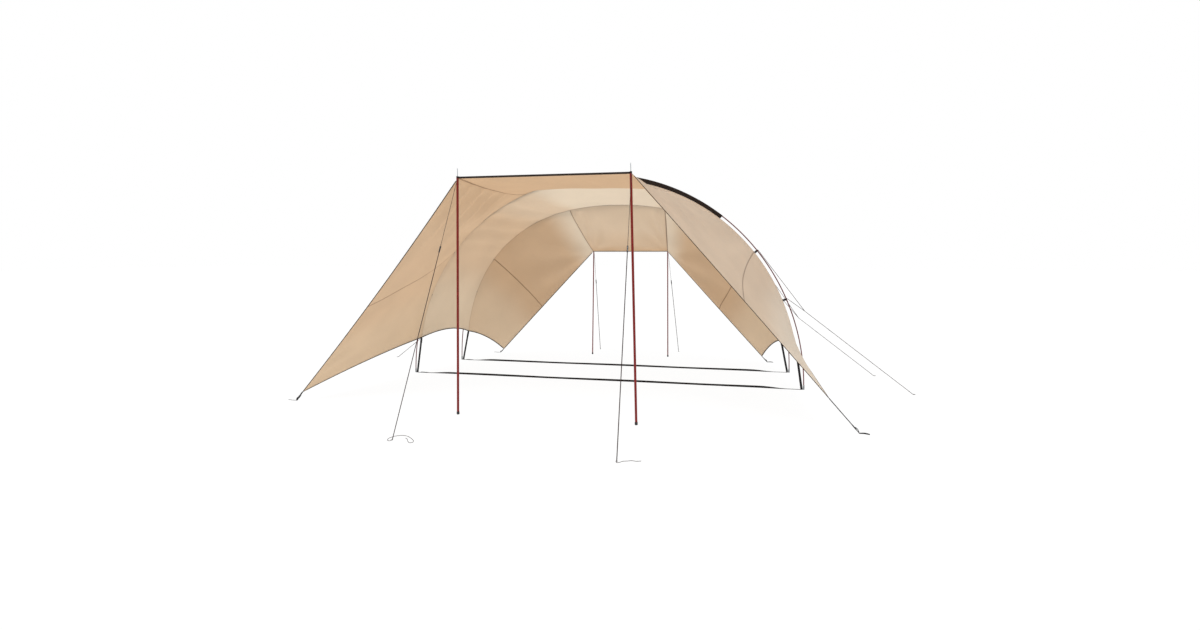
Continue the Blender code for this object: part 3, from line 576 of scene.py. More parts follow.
def clothLayersAt(across, depth):
    # how far a seam shows: 0 on single cloth, up to 1 on the seams that carry the most thread
    reach = abs(across)
    row = reach - 1.0
    half, slack = canopyGrid["seamHalf"], 0.0002
    length = 2.0 if depth < 1.0 else 1.1
    if abs(depth - 1.0) <= half / length + slack or abs(depth - 2.0) <= half / (1.1 if depth < 2.0 else 0.95) + slack:
        return seamShow["arch"]
    if 1.0 < depth < 2.0:
        return 0.0
    if abs(row) <= (half / 0.87 if row < 0.0 else half / 2.2) + slack:
        return seamShow["frontHip"] if depth < 1.0 else seamShow["rearHip"]
    if abs(row - crossSeam["row"]) <= half / 2.2 + slack:
        return seamShow["frontCross"] if depth < 1.0 else seamShow["rearCross"]
    return 0.0


def stepped(value, *stops):
    # reads a value between (place, value) stops
    for (low, before), (high, after) in zip(stops, stops[1:]):
        if value < high:
            return before + (after - before) * smoothStep(low, high, value)
    return stops[-1][1]


def clothPaintedLightShadeAt(across, depth):
    # painted light and shade on the cloth, inside and outside, from 0 (deep colour, painted shade) to 1 (pale colour,
    # painted light):
    #     # the bay crown inside and the lower outer flaps are painted pale, the visor and rear flaps deep
    reach = abs(across)
    outside = stepped(reach, (1.62, 0.53), (1.85, 0.94))
    if depth < 1.0:
        inside = stepped(reach, (0.95, 0.01), (1.05, 0.06), (1.25, 0.14), (1.90, 0.12))
    elif depth < 2.0:
        inside = stepped(reach, (0.70, 0.92), (1.10, 0.46), (1.28, 0.19), (1.55, 0.22), (1.75, 0.38))
    elif reach < 1.0:
        inside = stepped(depth, (2.40, 0.49), (2.80, 0.28), (3.00, 0.0))
    else:
        inside = stepped(reach, (1.00, 0.78), (1.18, 0.05), (1.55, 0.0), (1.75, 0.16))
    return inside, outside


def makeCanopy():
    columns, rows = acrossStops(), depthStops()
    shape = bmesh.new()
    layers = shape.verts.layers.float.new("clothLayers")
    paintedLightShade = shape.verts.layers.float.new("clothPaintedLightShade")
    insidePaintedLightShade = []
    uvLayer = shape.loops.layers.uv.new("clothUV")
    grid = []
    for depth in rows:
        line = []
        for across in columns:
            vert = shape.verts.new(sailPoint(across, depth))
            vert[layers] = clothLayersAt(across, depth)
            inside, vert[paintedLightShade] = clothPaintedLightShadeAt(across, depth)
            insidePaintedLightShade.append(inside)
            line.append(vert)
        grid.append(line)
    middle = len(columns) // 2
    # flat size: how far along the cloth each point lies from the crown and from the front edge
    places = {}
    for i, line in enumerate(grid):
        across = [0.0] * len(line)
        for j in range(middle + 1, len(line)):
            across[j] = across[j - 1] + (line[j].co - line[j - 1].co).length
        for j in range(middle - 1, -1, -1):
            across[j] = across[j + 1] - (line[j].co - line[j + 1].co).length
        for j, vert in enumerate(line):
            along = places[grid[i - 1][j]][1] + (vert.co - grid[i - 1][j].co).length if i else 0.0
            places[vert] = (across[j], along)
    for before, after in zip(grid, grid[1:]):
        for j in range(len(columns) - 1):
            face = shape.faces.new((before[j], before[j + 1], after[j + 1], after[j]))
            face.smooth = True
            for loop in face.loops:
                loop[uvLayer].uv = places[loop.vert]
    shape.normal_update()
    moves = []
    for i, depth in enumerate(rows):
        for j, across in enumerate(columns):
            vert = grid[i][j]
            outward = vert.normal if vert.normal.dot(Vector((vert.co.x, 0.0, vert.co.z + 0.2))) > 0.0 else -vert.normal
            lift = baySettings["midCloth"] + vert[layers] * foldSettings["seamLift"]
            moves.append((vert, outward.copy() * (lift + clothFold(across, depth, vert.co))))
    # the rim is drawn out under the edge tape, which stands just off it
    for i, depth in enumerate(rows):
        for j in (0, len(columns) - 1):
            inner = grid[i][j + 1 if j == 0 else j - 1]
            moves.append((grid[i][j], (grid[i][j].co - inner.co).normalized() * 0.005))
    for j in range(len(columns)):
        for i, inner in ((0, 1), (len(rows) - 1, len(rows) - 2)):
            moves.append((grid[i][j], (grid[i][j].co - grid[inner][j].co).normalized() * 0.005))
    for vert, move in moves:
        vert.co += move
    if sum(face.normal.dot(face.calc_center_median()) for face in shape.faces) < 0.0:
        bmesh.ops.reverse_faces(shape, faces=shape.faces[:])
    piece = linkMesh("canopyCloth", shape)
    bpy.context.view_layer.objects.active = piece
    shell = piece.modifiers.new("thickness", "SOLIDIFY")
    shell.thickness = canopyGrid["thickness"]
    shell.offset = 0.0
    shell.use_rim = True
    bpy.ops.object.modifier_apply(modifier=shell.name)
    # the second half of the points is the cloth's inner face
    # the inner face gets its own painted light and shade values: pale on the bay crown, deep on the visor and rear
    # flaps
    values = piece.data.attributes["clothPaintedLightShade"].data
    for index, inside in enumerate(insidePaintedLightShade):
        values[len(insidePaintedLightShade) + index].value = inside
    return piece


canopy = makeCanopy()
seat(canopy, canopyCloth, "canopy_fabric", "front_flap_left", "front_flap_right", "front_visor_top",
     "middle_bay_canopy", "rear_flap_left", "rear_flap_right", "rear_visor_top")
print("canopy made,", len(canopy.data.polygons), "faces")


# edge tape and ridge bands
tapeSettings = {"reach": 0.0045, "width": 0.0115, "thickness": 0.0050, "ridgeReach": 0.0055, "ridgeHeight": 0.018,
                "ridgeThickness": 0.006}


def rimTrack(surface, places, inward, reach, corner=None):
    # points just off the cloth's rim, with the directions away from the cloth and out of its face
    rims = [surface(*place) for place in places]
    found = []
    for index, place in enumerate(places):
        push = (rims[index] - surface(place[0] + inward[0], place[1] + inward[1])).normalized()
        along = rims[min(index + 1, len(rims) - 1)] - rims[max(index - 1, 0)]
        face = along.cross(push).normalized()
        if face.dot(Vector((rims[index].x, 0.0, rims[index].z + 0.2))) < 0.0:
            face.negate()
        if corner and index == len(places) - 1:
            push += (rims[index] - surface(place[0] + corner[0], place[1] + corner[1])).normalized()
        found.append((rims[index] + push * reach + face * 0.002, push.normalized(), face))
    return found


def sideTrack(word):
    # a side's edge from the front pole top round the hem to the rear pole top, laid out on the right
    reach = tapeSettings["reach"]
    rows = [0.014 + 0.986 * i / 48 for i in range(49)]

    def front(u, v):
        return flapPoint(frontEnd, u, v, word)

    def rear(u, v):
        return flapPoint(rearEnd, u, v, word)

    def bayHem(u, v):
        return bayPoint(u, 1.0 + v)
    frontEdge = rimTrack(front, [(0.0, row) for row in rows], (0.01, 0.0), reach, (0.0, -0.01))
    frontHem = rimTrack(front, [(i / 30, 1.0) for i in range(1, 30)], (0.0, -0.01), reach)
    bay = rimTrack(bayHem, [(i / 16, 1.0) for i in range(17)], (0.0, -0.004), reach)
    rearHem = rimTrack(rear, [(1.0 - i / 16, 1.0) for i in range(1, 16)], (0.0, -0.01), reach)
    rearEdge = rimTrack(rear, [(0.0, row) for row in rows], (0.01, 0.0), reach, (0.0, -0.01))
    joints = {"frontTip": frontEdge[-1][0], "rearTip": rearEdge[-1][0], "frontHem": bay[0][0], "rearHem": bay[-1][0]}
    return frontEdge + frontHem + bay + rearHem + rearEdge[::-1], joints


joints = {}
for word, side in sides:
    track, joints[word] = sideTrack(word)
    stations = [(mirrored(point, side), mirrored(push, side), mirrored(face, side)) for point, push, face in track]
    tape = flatBand("edgeTape" + word, stations, tapeSettings["width"], tapeSettings["thickness"])
    seat(tape, edgeTape, "black_binding", "edge_binding_" + word.lower())


def ridgeTrack(end):
    places = [(0.0, share) for share in (0.0, 0.1, 0.2, 0.3, 0.4, 0.5, 0.6, 0.7, 0.8, 0.88, 0.94)]
    return rimTrack(lambda u, s: topPoint(end, u, s), places, (0.01, 0.0), tapeSettings["ridgeReach"])


for end in (frontEnd, rearEnd):
    half = ridgeTrack(end)
    end["ringHeight"] = half[-1][0].z
    forward = end["forward"]
    poleY = end["ridgeY"] + forward * guySettings["poleStandoff"]
    end["poleY"] = poleY
    tall = tapeSettings["ridgeHeight"] if end is frontEnd else 0.011
    stations = [(point, Vector((0, 0, 1)), Vector((0, forward, 0))) for point, push, face in half]
    # the band's end turns forward and round the pole's pin as a loop
    ring = 0.0095
    for i in range(13):
        turn = math.radians(95.0 - 24.0 * i)
        spot = Vector((end["ridgeX"] + ring * math.cos(turn), poleY - forward * ring * math.sin(turn), end["ringHeight"]))
        outward = Vector((math.cos(turn), -forward * math.sin(turn), 0.0))
        stations.append((spot, Vector((0, 0, 1)), outward))
    whole = [(mirrored(p, -1.0), a, mirrored(f, -1.0)) for p, a, f in reversed(stations[1:])] + stations
    band = flatBand(end["name"] + "RidgeBand", whole, tall, 0.0032)
    seat(band, sleeveCloth, "black_binding", end["name"] + "_ridge_binding")
print("tapes sewn on")


# arch sleeves and rods
sleeveSettings = {"base": 0.0015, "seamHalf": 0.0012, "slack": 0.0026, "wall": 0.0008, "stations": 150}
rodSettings = {"radius": 0.006, "steps": 160, "ferruleRadius": 0.0094, "ferruleTop": 0.052}


def nearestOnRod(end, start, direction):
    # how far the rod's line lies from a point of the cloth, outwards in the arch's plane
    line = [onRod(end, math.pi * i / 480) for i in range(481)]
    for before, after in zip(line, line[1:]):
        facet = Vector((after.z - before.z, 0.0, before.x - after.x))
        slope = facet.dot(direction)
        if abs(slope) > 1e-9:
            reach = facet.dot(before - start) / slope
            share = (start + direction * reach - before).dot(after - before) / (after - before).length_squared
            if 0.0 <= share <= 1.0 and 0.0 < reach < 0.3:
                return reach
    return 0.05


def archOutward(end, angle):
    tangent = (onArch(end, angle + 0.002) - onArch(end, angle - 0.002)).normalized()
    outward = Vector((0.0, 1.0, 0.0)).cross(tangent).normalized()
    return outward if outward.dot(onArch(end, angle)) > 0.0 else -outward


def makeSleeve(end):
    endAngle = math.acos((end["sleeveEnd"] / end["half"]) ** (end["power"] / 2.0))
    rings = []
    count = sleeveSettings["stations"]
    for i in range(count + 1):
        angle = endAngle + (math.pi - 2.0 * endAngle) * i / count
        seam, outward = onArch(end, angle), archOutward(end, angle)
        reach = nearestOnRod(end, seam, outward)
        pocket = rodSettings["radius"] + sleeveSettings["slack"]
        ripple = noise.noise(Vector((i * 0.31, end["archY"] * 5.0, 0.0)))
        profile = [(sleeveSettings["seamHalf"], sleeveSettings["base"]),
                   (sleeveSettings["seamHalf"] + 0.0010 + 0.0008 * ripple, reach * 0.25),
                   (pocket * 0.50 + 0.0010 * ripple, reach * 0.52),
                   (pocket * 0.80 + 0.0006 * ripple, reach * 0.78)]
        profile += [(pocket * math.cos(math.radians(t)), reach + pocket * math.sin(math.radians(t)))
                    for t in (-18.0, 10.0, 38.0, 66.0)]
        points = profile + [(0.0, reach + pocket)] + [(-y, h) for y, h in reversed(profile)]
        rings.append([seam + outward * h + Vector((0.0, y, 0.0)) for y, h in points])
    piece = loft(end["name"] + "ArchSleeve", rings, 1.0, closedRing=False)
    shape = bmesh.new()
    shape.from_mesh(piece.data)
    shape.normal_update()
    if sum(face.normal.dot(face.calc_center_median() - Vector((0.0, end["archY"], 0.0)))
           for face in shape.faces) < 0.0:
        bmesh.ops.reverse_faces(shape, faces=shape.faces[:])
    shape.to_mesh(piece.data)
    shape.free()
    bpy.context.view_layer.objects.active = piece
    shell = piece.modifiers.new("wall", "SOLIDIFY")
    shell.thickness = sleeveSettings["wall"]
    shell.offset = -1.0
    bpy.ops.object.modifier_apply(modifier=shell.name)
    return piece


for end in (frontEnd, rearEnd):
    sleeve = makeSleeve(end)
    seat(sleeve, sleeveCloth, "black_binding", end["name"] + "_arch_sleeve")
    end["sleeve"] = sleeve
    line = [onRod(end, math.pi * i / rodSettings["steps"]) for i in range(rodSettings["steps"] + 1)]
    rod = roundCord(end["name"] + "ArchRod", line, rodSettings["radius"], 16)
    seat(rod, fibreglassRed, "red_rod", end["name"] + "_arch_rod")
    end["rodPiece"] = rod
print("sleeves and rods made")


# hard pieces, modelled from primitives
def newest(name):
    piece = bpy.context.object
    piece.name = name
    piece.data.name = name
    return piece


def openFaces(piece, test):
    # edit mode, with just the faces selected that pass the test
    bpy.ops.object.select_all(action="DESELECT")
    piece.select_set(True)
    bpy.context.view_layer.objects.active = piece
    bpy.ops.object.mode_set(mode="EDIT")
    bpy.ops.mesh.select_mode(type="FACE")
    bpy.ops.mesh.select_all(action="DESELECT")
    shape = bmesh.from_edit_mesh(piece.data)
    for face in shape.faces:
        face.select_set(test(face))
    shape.select_flush_mode()
    bmesh.update_edit_mesh(piece.data)


def closeEdit():
    bpy.ops.object.mode_set(mode="OBJECT")
    bpy.ops.object.select_all(action="DESELECT")


def withModifier(piece, kind, **settings):
    bpy.ops.object.select_all(action="DESELECT")
    piece.select_set(True)
    bpy.context.view_layer.objects.active = piece
    modifier = piece.modifiers.new(kind.lower(), kind)
    for key, value in settings.items():
        setattr(modifier, key, value)
    bpy.ops.object.modifier_apply(modifier=modifier.name)


def softened(piece, width, segments=2, angle=40.0):
    # rounds the sharp edges and shades by angle
    withModifier(piece, "BEVEL", width=width, segments=segments, limit_method="ANGLE", angle_limit=math.radians(angle),
                 harden_normals=False)
    piece.select_set(True)
    bpy.context.view_layer.objects.active = piece
    bpy.ops.object.shade_smooth_by_angle(angle=math.radians(35.0))
    bpy.ops.object.select_all(action="DESELECT")


def applied(piece):
    # moves the object's own place and turn into its mesh
    bpy.context.view_layer.update()
    piece.data.transform(piece.matrix_world)
    piece.matrix_world = Matrix.Identity(4)
    return piece


def copied(piece, name, matrix):
    twin = piece.copy()
    twin.data = piece.data.copy()
    twin.name = name
    twin.data.name = name
    bpy.context.scene.collection.objects.link(twin)
    twin.data.transform(matrix)
    twin.data.update()
    return twin


def joined(pieces, name):
    bpy.ops.object.select_all(action="DESELECT")
    for piece in pieces:
        piece.select_set(True)
    bpy.context.view_layer.objects.active = pieces[0]
    bpy.ops.object.join()
    piece = newest(name)
    bpy.ops.object.select_all(action="DESELECT")
    return piece


def axes(x, y, z, place):
    return Matrix.Translation(place) @ Matrix((x, y, z)).transposed().to_4x4()


def turnedPost(name, steps, sidesCount=32):
    # a turned piece grown upwards: steps are (height to extrude, radius after it)
    bpy.ops.mesh.primitive_cylinder_add(vertices=sidesCount, radius=steps[0][1], depth=steps[0][0],
                                        location=(0.0, 0.0, steps[0][0] / 2))
    piece = applied(newest(name))
    radius, top = steps[0][1], steps[0][0]
    for height, wanted in steps[1:]:
        openFaces(piece, lambda face: face.normal.z > 0.9 and abs(face.calc_center_median().z - top) < 1e-6)
        bpy.ops.mesh.extrude_region_move(TRANSFORM_OT_translate={"value": (0.0, 0.0, height)})
        if abs(wanted - radius) > 1e-7:
            bpy.ops.transform.resize(value=(wanted / radius, wanted / radius, 1.0), center_override=(0.0, 0.0, 0.0))
        closeEdit()
        radius, top = wanted, top + height
    return piece


poleSettings = {"front": {"radius": 0.011, "foot": 0.855, "footShift": 0.028, "spike": 0.095},
                "rear": {"radius": 0.008, "foot": 0.570, "footShift": -0.010, "spike": 0.045},
                "footHeight": 0.030, "footWall": 0.003, "pinRadius": 0.0035, "sections": 4}

for end in (frontEnd, rearEnd):
    own = poleSettings[end["name"]]
    radius = own["radius"]
    shoulder = end["ringHeight"] - 0.0055
    top = Vector((end["ridgeX"], end["poleY"], shoulder))
    foot = Vector((own["foot"], end["poleY"] + own["footShift"], poleSettings["footHeight"] - 0.012))
    length = (top - foot).length
    part = length / poleSettings["sections"]
    steps = [(part - 0.001, radius)]
    for i in range(1, poleSettings["sections"]):
        steps += [(0.0006, radius * 0.95), (0.0010, radius * 0.95), (0.0006, radius), (part - 0.0032, radius)]
    steps += [(0.0012, radius * 0.90)]
    tube = turnedPost(end["name"] + "PoleTube", steps, 40)
    tubeTop = sum(step[0] for step in steps)
    tube.data.transform(Matrix.Scale(length / tubeTop, 4, (0.0, 0.0, 1.0)))
    softened(tube, 0.0004, 1, 50.0)
    pin = turnedPost(end["name"] + "PolePin", [(0.004, radius * 0.62), (0.0015, radius * 0.62), (0.001, 0.0034),
                                               (own["spike"] * 0.78, 0.0034), (0.006, 0.0028), (0.006, 0.0016),
                                               (0.0015, 0.0006)], 20)
    pin.data.transform(Matrix.Translation((0.0, 0.0, length - 0.004)))
    softened(pin, 0.0003, 1, 40.0)
    boot = turnedPost(end["name"] + "PoleBoot", [(0.0015, radius), (0.0030, radius + 0.0022), (0.006, radius + 0.003),
                                                 (0.005, radius + 0.0028), (0.0015, radius + 0.0014),
                                                 (0.0015, radius + 0.0014), (0.0015, radius + 0.0026),
                                                 (0.006, radius + 0.0022), (0.0025, radius + 0.0010)], 32)
    softened(boot, 0.0006, 2, 25.0)
    for word, side in sides:
        upright = (mirrored(top, side) - mirrored(foot, side)).normalized()
        across = Vector((0.0, 1.0, 0.0)).cross(upright).normalized()
        stand = axes(across, upright.cross(across), upright, mirrored(foot, side))
        shown = copied(tube, end["name"] + "Pole" + word, stand)
        seat(shown, anodisedRed, "red_tube", end["name"] + "_pole_" + word.lower())
        seat(copied(pin, end["name"] + "PolePin" + word, stand), platedSteel, "red_tube")
        floorSpot = Vector((side * own["foot"], foot.y, 0.0))
        seat(copied(boot, end["name"] + "PoleFoot" + word, Matrix.Translation(floorSpot)), mouldedRubber,
             "black_rubber", end["name"] + "_pole_foot_" + word.lower())
    for maker in (tube, pin, boot):
        bpy.data.objects.remove(maker)
print("poles stand")


# slotted plastic plates: buckles, strap adjusters and guy line sliders
def slottedPlate(name, xStops, yStops, holes, thickness, rounding):
    bpy.ops.mesh.primitive_grid_add(x_subdivisions=len(xStops) - 1, y_subdivisions=len(yStops) - 1, size=1.0)
    piece = newest(name)
    for vert in piece.data.vertices:
        i = round((vert.co.x + 0.5) * (len(xStops) - 1))
        j = round((vert.co.y + 0.5) * (len(yStops) - 1))
        vert.co = (xStops[i], yStops[j], 0.0)

    def inHole(face):
        spot = face.calc_center_median()
        return any(low < spot.x < high and left < spot.y < right for low, high, left, right in holes)
    openFaces(piece, inHole)
    bpy.ops.mesh.delete(type="FACE")
    closeEdit()
    withModifier(piece, "SOLIDIFY", thickness=thickness, offset=0.0)
    softened(piece, rounding, 2, 50.0)
    return piece


buckleSettings = {"length": 0.045, "width": 0.028, "thickness": 0.0045}
buckle = slottedPlate("strapBuckle", (-0.0225, -0.018, -0.010, -0.005, 0.004, 0.009, 0.018, 0.0225),
                      (-0.014, -0.0108, 0.0, 0.0108, 0.014),
                      ((-0.018, -0.010, -0.0108, 0.0108), (-0.005, 0.004, -0.0108, 0.0108),
                       (0.009, 0.018, -0.0108, 0.0108)), buckleSettings["thickness"], 0.0011)
adjuster = slottedPlate("strapAdjuster", (-0.025, -0.020, -0.012, -0.004, 0.004, 0.012, 0.020, 0.025),
                        (-0.017, -0.0132, 0.0, 0.0132, 0.017),
                        ((-0.020, -0.012, -0.0132, 0.0132), (-0.004, 0.004, -0.0132, 0.0132),
                         (0.012, 0.020, -0.0132, 0.0132)), 0.005, 0.0012)
slider = slottedPlate("guySlider", (-0.030, -0.026, -0.021, -0.003, 0.003, 0.021, 0.026, 0.030),
                      (-0.0065, -0.0022, 0.0022, 0.0065),
                      ((-0.026, -0.021, -0.0022, 0.0022), (-0.003, 0.003, -0.0022, 0.0022),
                       (0.021, 0.026, -0.0022, 0.0022)), 0.0060, 0.0016)

# arch clip: a hook of about three quarters of a ring round the rod, on a stem sewn to the cloth
clipSettings = {"ring": 0.0080, "wall": 0.0034, "length": 0.018, "mouth": 70.0, "steps": (10, 6),
                "stemWidth": 0.024, "stemThickness": 0.006}


def makeClipHook():
    bpy.ops.mesh.primitive_cylinder_add(vertices=28, radius=clipSettings["ring"] + clipSettings["wall"] / 2,
                                        depth=clipSettings["length"], end_fill_type="NOTHING",
                                        rotation=(0.0, math.radians(90.0), 0.0))
    ring = applied(newest("clipRing"))

    def inMouth(face):
        spot = face.calc_center_median()
        turn = math.degrees(math.atan2(spot.z, spot.y))
        return 10.0 < turn < 10.0 + clipSettings["mouth"]
    openFaces(ring, inMouth)
    bpy.ops.mesh.delete(type="FACE")
    closeEdit()
    withModifier(ring, "SOLIDIFY", thickness=clipSettings["wall"], offset=0.0)
    softened(ring, 0.0007, 2, 50.0)
    return ring


clipHook = makeClipHook()


def archClip(name, place, tangent, outward, reach):
    # the stem runs from the seam at -reach up to the hook round the rod
    bpy.ops.mesh.primitive_cube_add(size=1.0)
    stem = newest(name)
    lowest, highest = -reach + 0.001, -clipSettings["ring"] + 0.001
    stem.data.transform(Matrix.Translation((0.0, 0.0, (lowest + highest) / 2))
                        @ Matrix.Diagonal((clipSettings["stemWidth"], clipSettings["stemThickness"],
                                               highest - lowest, 1.0)))
    openFaces(stem, lambda face: abs(face.normal.y) > 0.9)
    bpy.ops.mesh.inset(thickness=0.003, depth=0.0)
    bpy.ops.mesh.inset(thickness=0.0006, depth=-0.0010)
    closeEdit()
    softened(stem, 0.0006, 2, 40.0)
    hook = copied(clipHook, name + "Hook", Matrix.Identity(4))
    piece = joined([stem, hook], name)
    piece.data.transform(axes(tangent, outward.cross(tangent), outward, place))
    piece.data.update()
    return piece


def clipFrames(end, side):
    # the upper and the lower clip, midway between two of the rod's 48 even stations
    found = []
    for step in clipSettings["steps"]:
        before, after = [mirrored(onRod(end, math.pi * i / 48), side) for i in (step, step + 1)]
        here, tangent = mixed(before, after, 0.5), (after - before).normalized()
        outward = Vector((0.0, 1.0, 0.0)).cross(tangent).normalized()
        if outward.dot(here) < 0.0:
            outward.negate()
        found.append((here, outward, tangent))
    return found


def clothReach(end, here, outward, side):
    # how far inside the rod the seam lies at a clip
    line = [mirrored(onArch(end, math.pi * i / 480), side) for i in range(241)]
    best = 1.0
    for before, after in zip(line, line[1:]):
        facet = Vector((after.z - before.z, 0.0, before.x - after.x))
        slope = facet.dot(-outward)
        if abs(slope) > 1e-9:
            reach = facet.dot(before - here) / slope
            share = (here - outward * reach - before).dot(after - before) / (after - before).length_squared
            if 0.0 <= share <= 1.0 and 0.0 < reach < best:
                best = reach
    return best


for end in (frontEnd, rearEnd):
    end["clips"] = {}
    for word, side in sides:
        end["clips"][word] = clipFrames(end, side)
        for level, (here, outward, tangent) in zip(("Upper", "Lower"), end["clips"][word]):
            reach = clothReach(end, here, outward, side)
            clip = archClip(end["name"] + "Clip" + word + level, here, tangent, outward, reach)
            seat(clip, mouldedAcetal, "black_plastic",
                 f"{end['name']}_arch_clip_{word.lower()}_{level.lower()}")
print("clips hooked on")


# grey ferrules at the rods' feet
ferruleMaker = turnedPost("ferruleMaker", [(0.0015, 0.0080), (0.0010, 0.0094), (0.008, 0.0094), (0.0008, 0.0090),
                                           (0.0010, 0.0090), (0.0008, 0.0094), (0.033, 0.0094), (0.0010, 0.0088),
                                           (0.0045, 0.0070)], 28)
softened(ferruleMaker, 0.0004, 2, 30.0)
for end in (frontEnd, rearEnd):
    for word, side in sides:
        base = Vector((side * end["rodHalf"], end["archY"], 0.0))
        ferrule = copied(ferruleMaker, end["name"] + "Ferrule" + word, Matrix.Translation(base))
        seat(ferrule, drawnAluminium, "red_rod")
bpy.data.objects.remove(ferruleMaker)


# webbing
strapSettings = {"width": 0.020, "thickness": 0.0016, "groundWidth": 0.025, "groundThickness": 0.0018,
                 "upliftWidth": 0.025, "doubled": 0.0036, "twist": 0.28, "tails": {"Left": (0.100, 0.0), "Right": (0.080, 0.010)},
                 "buckles": {"frontLeft": 0.55, "frontRight": 0.82, "rearLeft": 0.50, "rearRight": 0.55}}


def bandStations(line, across):
    # centre, across and face directions for a flat strap along a line
    found = []
    for i, point in enumerate(line):
        tangent = (line[min(i + 1, len(line) - 1)] - line[max(i - 1, 0)]).normalized()
        wide = (across - tangent * across.dot(tangent)).normalized()
        found.append((point, wide, tangent.cross(wide).normalized()))
    return found


for end in (frontEnd, rearEnd):
    reach = end["rodHalf"] - 0.0100
    count = 160
    stations = []
    for i in range(count + 1):
        x = -reach + 2.0 * reach * i / count
        fromEnd = reach - abs(x)
        # flat at the rods' feet, leaning on its lower edge in between, as a strap held at both ends does
        lean = math.radians(52.0 + 8.0 * math.sin(x * 3.7 + end["archY"])) * smoothStep(0.16, 0.50, fromEnd)
        sway = 0.0030 * math.sin(x * 2.1 + end["archY"]) * min(1.0, 4.0 * fromEnd)
        across = Vector((0.0, math.cos(lean), math.sin(lean)))
        lowest = strapSettings["groundWidth"] / 2 * math.sin(lean) + strapSettings["groundThickness"] / 2
        stations.append((Vector((x, end["archY"] + sway, lowest + 0.0002)), across, Vector((1, 0, 0)).cross(across)))
    strap = flatBand(end["name"] + "GroundStrap", stations, strapSettings["groundWidth"],
                     strapSettings["groundThickness"])
    seat(strap, strapWebbing, "black_webbing", end["name"] + "_ground_strap")
    place = Vector((0.08 - reach, end["archY"], 0.0045))
    seat(copied(adjuster, end["name"] + "StrapAdjuster", Matrix.Translation(place)), mouldedAcetal, "black_plastic")
    # the doubled end that comes back out of the adjuster
    doubled = [Vector((0.105 - reach + 0.004 * i, end["archY"] + 0.0002 * i, 0.0040 + 0.0012 * math.sin(i * 0.35)))
               for i in range(16)]
    loose = flatBand(end["name"] + "GroundStrapEnd", bandStations(doubled, Vector((0, 1, 0))),
                     strapSettings["groundWidth"], strapSettings["groundThickness"])
    seat(loose, strapWebbing, "black_webbing")


def strapWithBuckle(name, points, across, width, thickness, buckleShare, node, tailLine=()):
    line = straightLine(points, 0.012) + list(tailLine)
    strap = flatBand(name, bandStations(line, across), width, thickness)
    seat(strap, strapWebbing, "black_webbing", node)
    down = (points[1] - points[0]).normalized()
    wide = (across - down * across.dot(down)).normalized()
    place = mixed(points[0], points[1], buckleShare)
    seat(copied(buckle, name + "Buckle", axes(down, wide, down.cross(wide), place)), mouldedAcetal, "black_plastic")
    return down, wide, place


def looseFold(name, start, end, lift, across, width):
    # the end of a strap that comes back from its buckle and bows off the strap
    count = 14
    line = [mixed(start, end, i / count) + lift * hump(i / count) * (1.0 - 0.35 * i / count) for i in range(count + 1)]
    fold = flatBand(name, bandStations(line, across), width, strapSettings["thickness"])
    seat(fold, strapWebbing, "black_webbing")


for end in (frontEnd, rearEnd):
    hem = joints["Right"][end["name"] + "Hem"]
    half = strapSettings["upliftWidth"] / 2
    footX = end["rodHalf"] - 0.0101
    for word, side in sides:
        top = Vector((hem.x, end["archY"], hem.z - 0.003))
        down = (Vector((footX - half, end["archY"], 0.0)) - top).normalized()
        across = down.cross(Vector((0.0, 1.0, 0.0)))
        bottom = Vector((footX - half * across.x, end["archY"], 0.0025 + half * abs(across.z)))
        strapWithBuckle(end["name"] + "UpliftStrap" + word, [mirrored(top, side), mirrored(bottom, side)],
                        mirrored(across, side), strapSettings["upliftWidth"], strapSettings["thickness"], 0.10,
                        f"{end['name']}_uplift_strap_{word.lower()}")
        corner, tip = Vector(end["corner"]), joints[word][end["name"] + "Tip"]
        down = (corner - tip).normalized()
        ground = mirrored(corner + Vector((0.0, 0.0, 0.001)), side)
        start = mirrored(tip + down * 0.002, side)
        wayX, wayY = strapSettings["tails"][word]
        way = Vector((side * wayX, end["forward"] * wayY, 0.0))
        tailLine = []
        for i in range(1, 19):
            share = i / 18
            curl = Vector((-way.y, way.x, 0.0)) * 0.12 * math.sin(share * 5.0)
            tailLine.append(ground + way * share + curl * share + Vector((0.0, 0.0, 0.0030 * hump(share))))
        # the strap runs double through the cloth's tip, a little turned on itself
        twist = Vector((0.0, 1.0, side * strapSettings["twist"])).normalized()
        down, wide, place = strapWithBuckle(end["name"] + "CornerStrap" + word, [start, ground], twist,
                                            strapSettings["width"], strapSettings["doubled"],
                                            strapSettings["buckles"][end["name"] + word],
                                            f"{end['name']}_corner_strap_{word.lower()}", tailLine)
        upward = down.cross(wide) if down.cross(wide).z > 0.0 else wide.cross(down)
        looseFold(end["name"] + "CornerStrapFold" + word, place + down * 0.006 + upward * 0.0032,
                  mixed(place, ground, 0.86) + upward * 0.0032, upward * 0.009, wide, strapSettings["width"])
print("straps made")


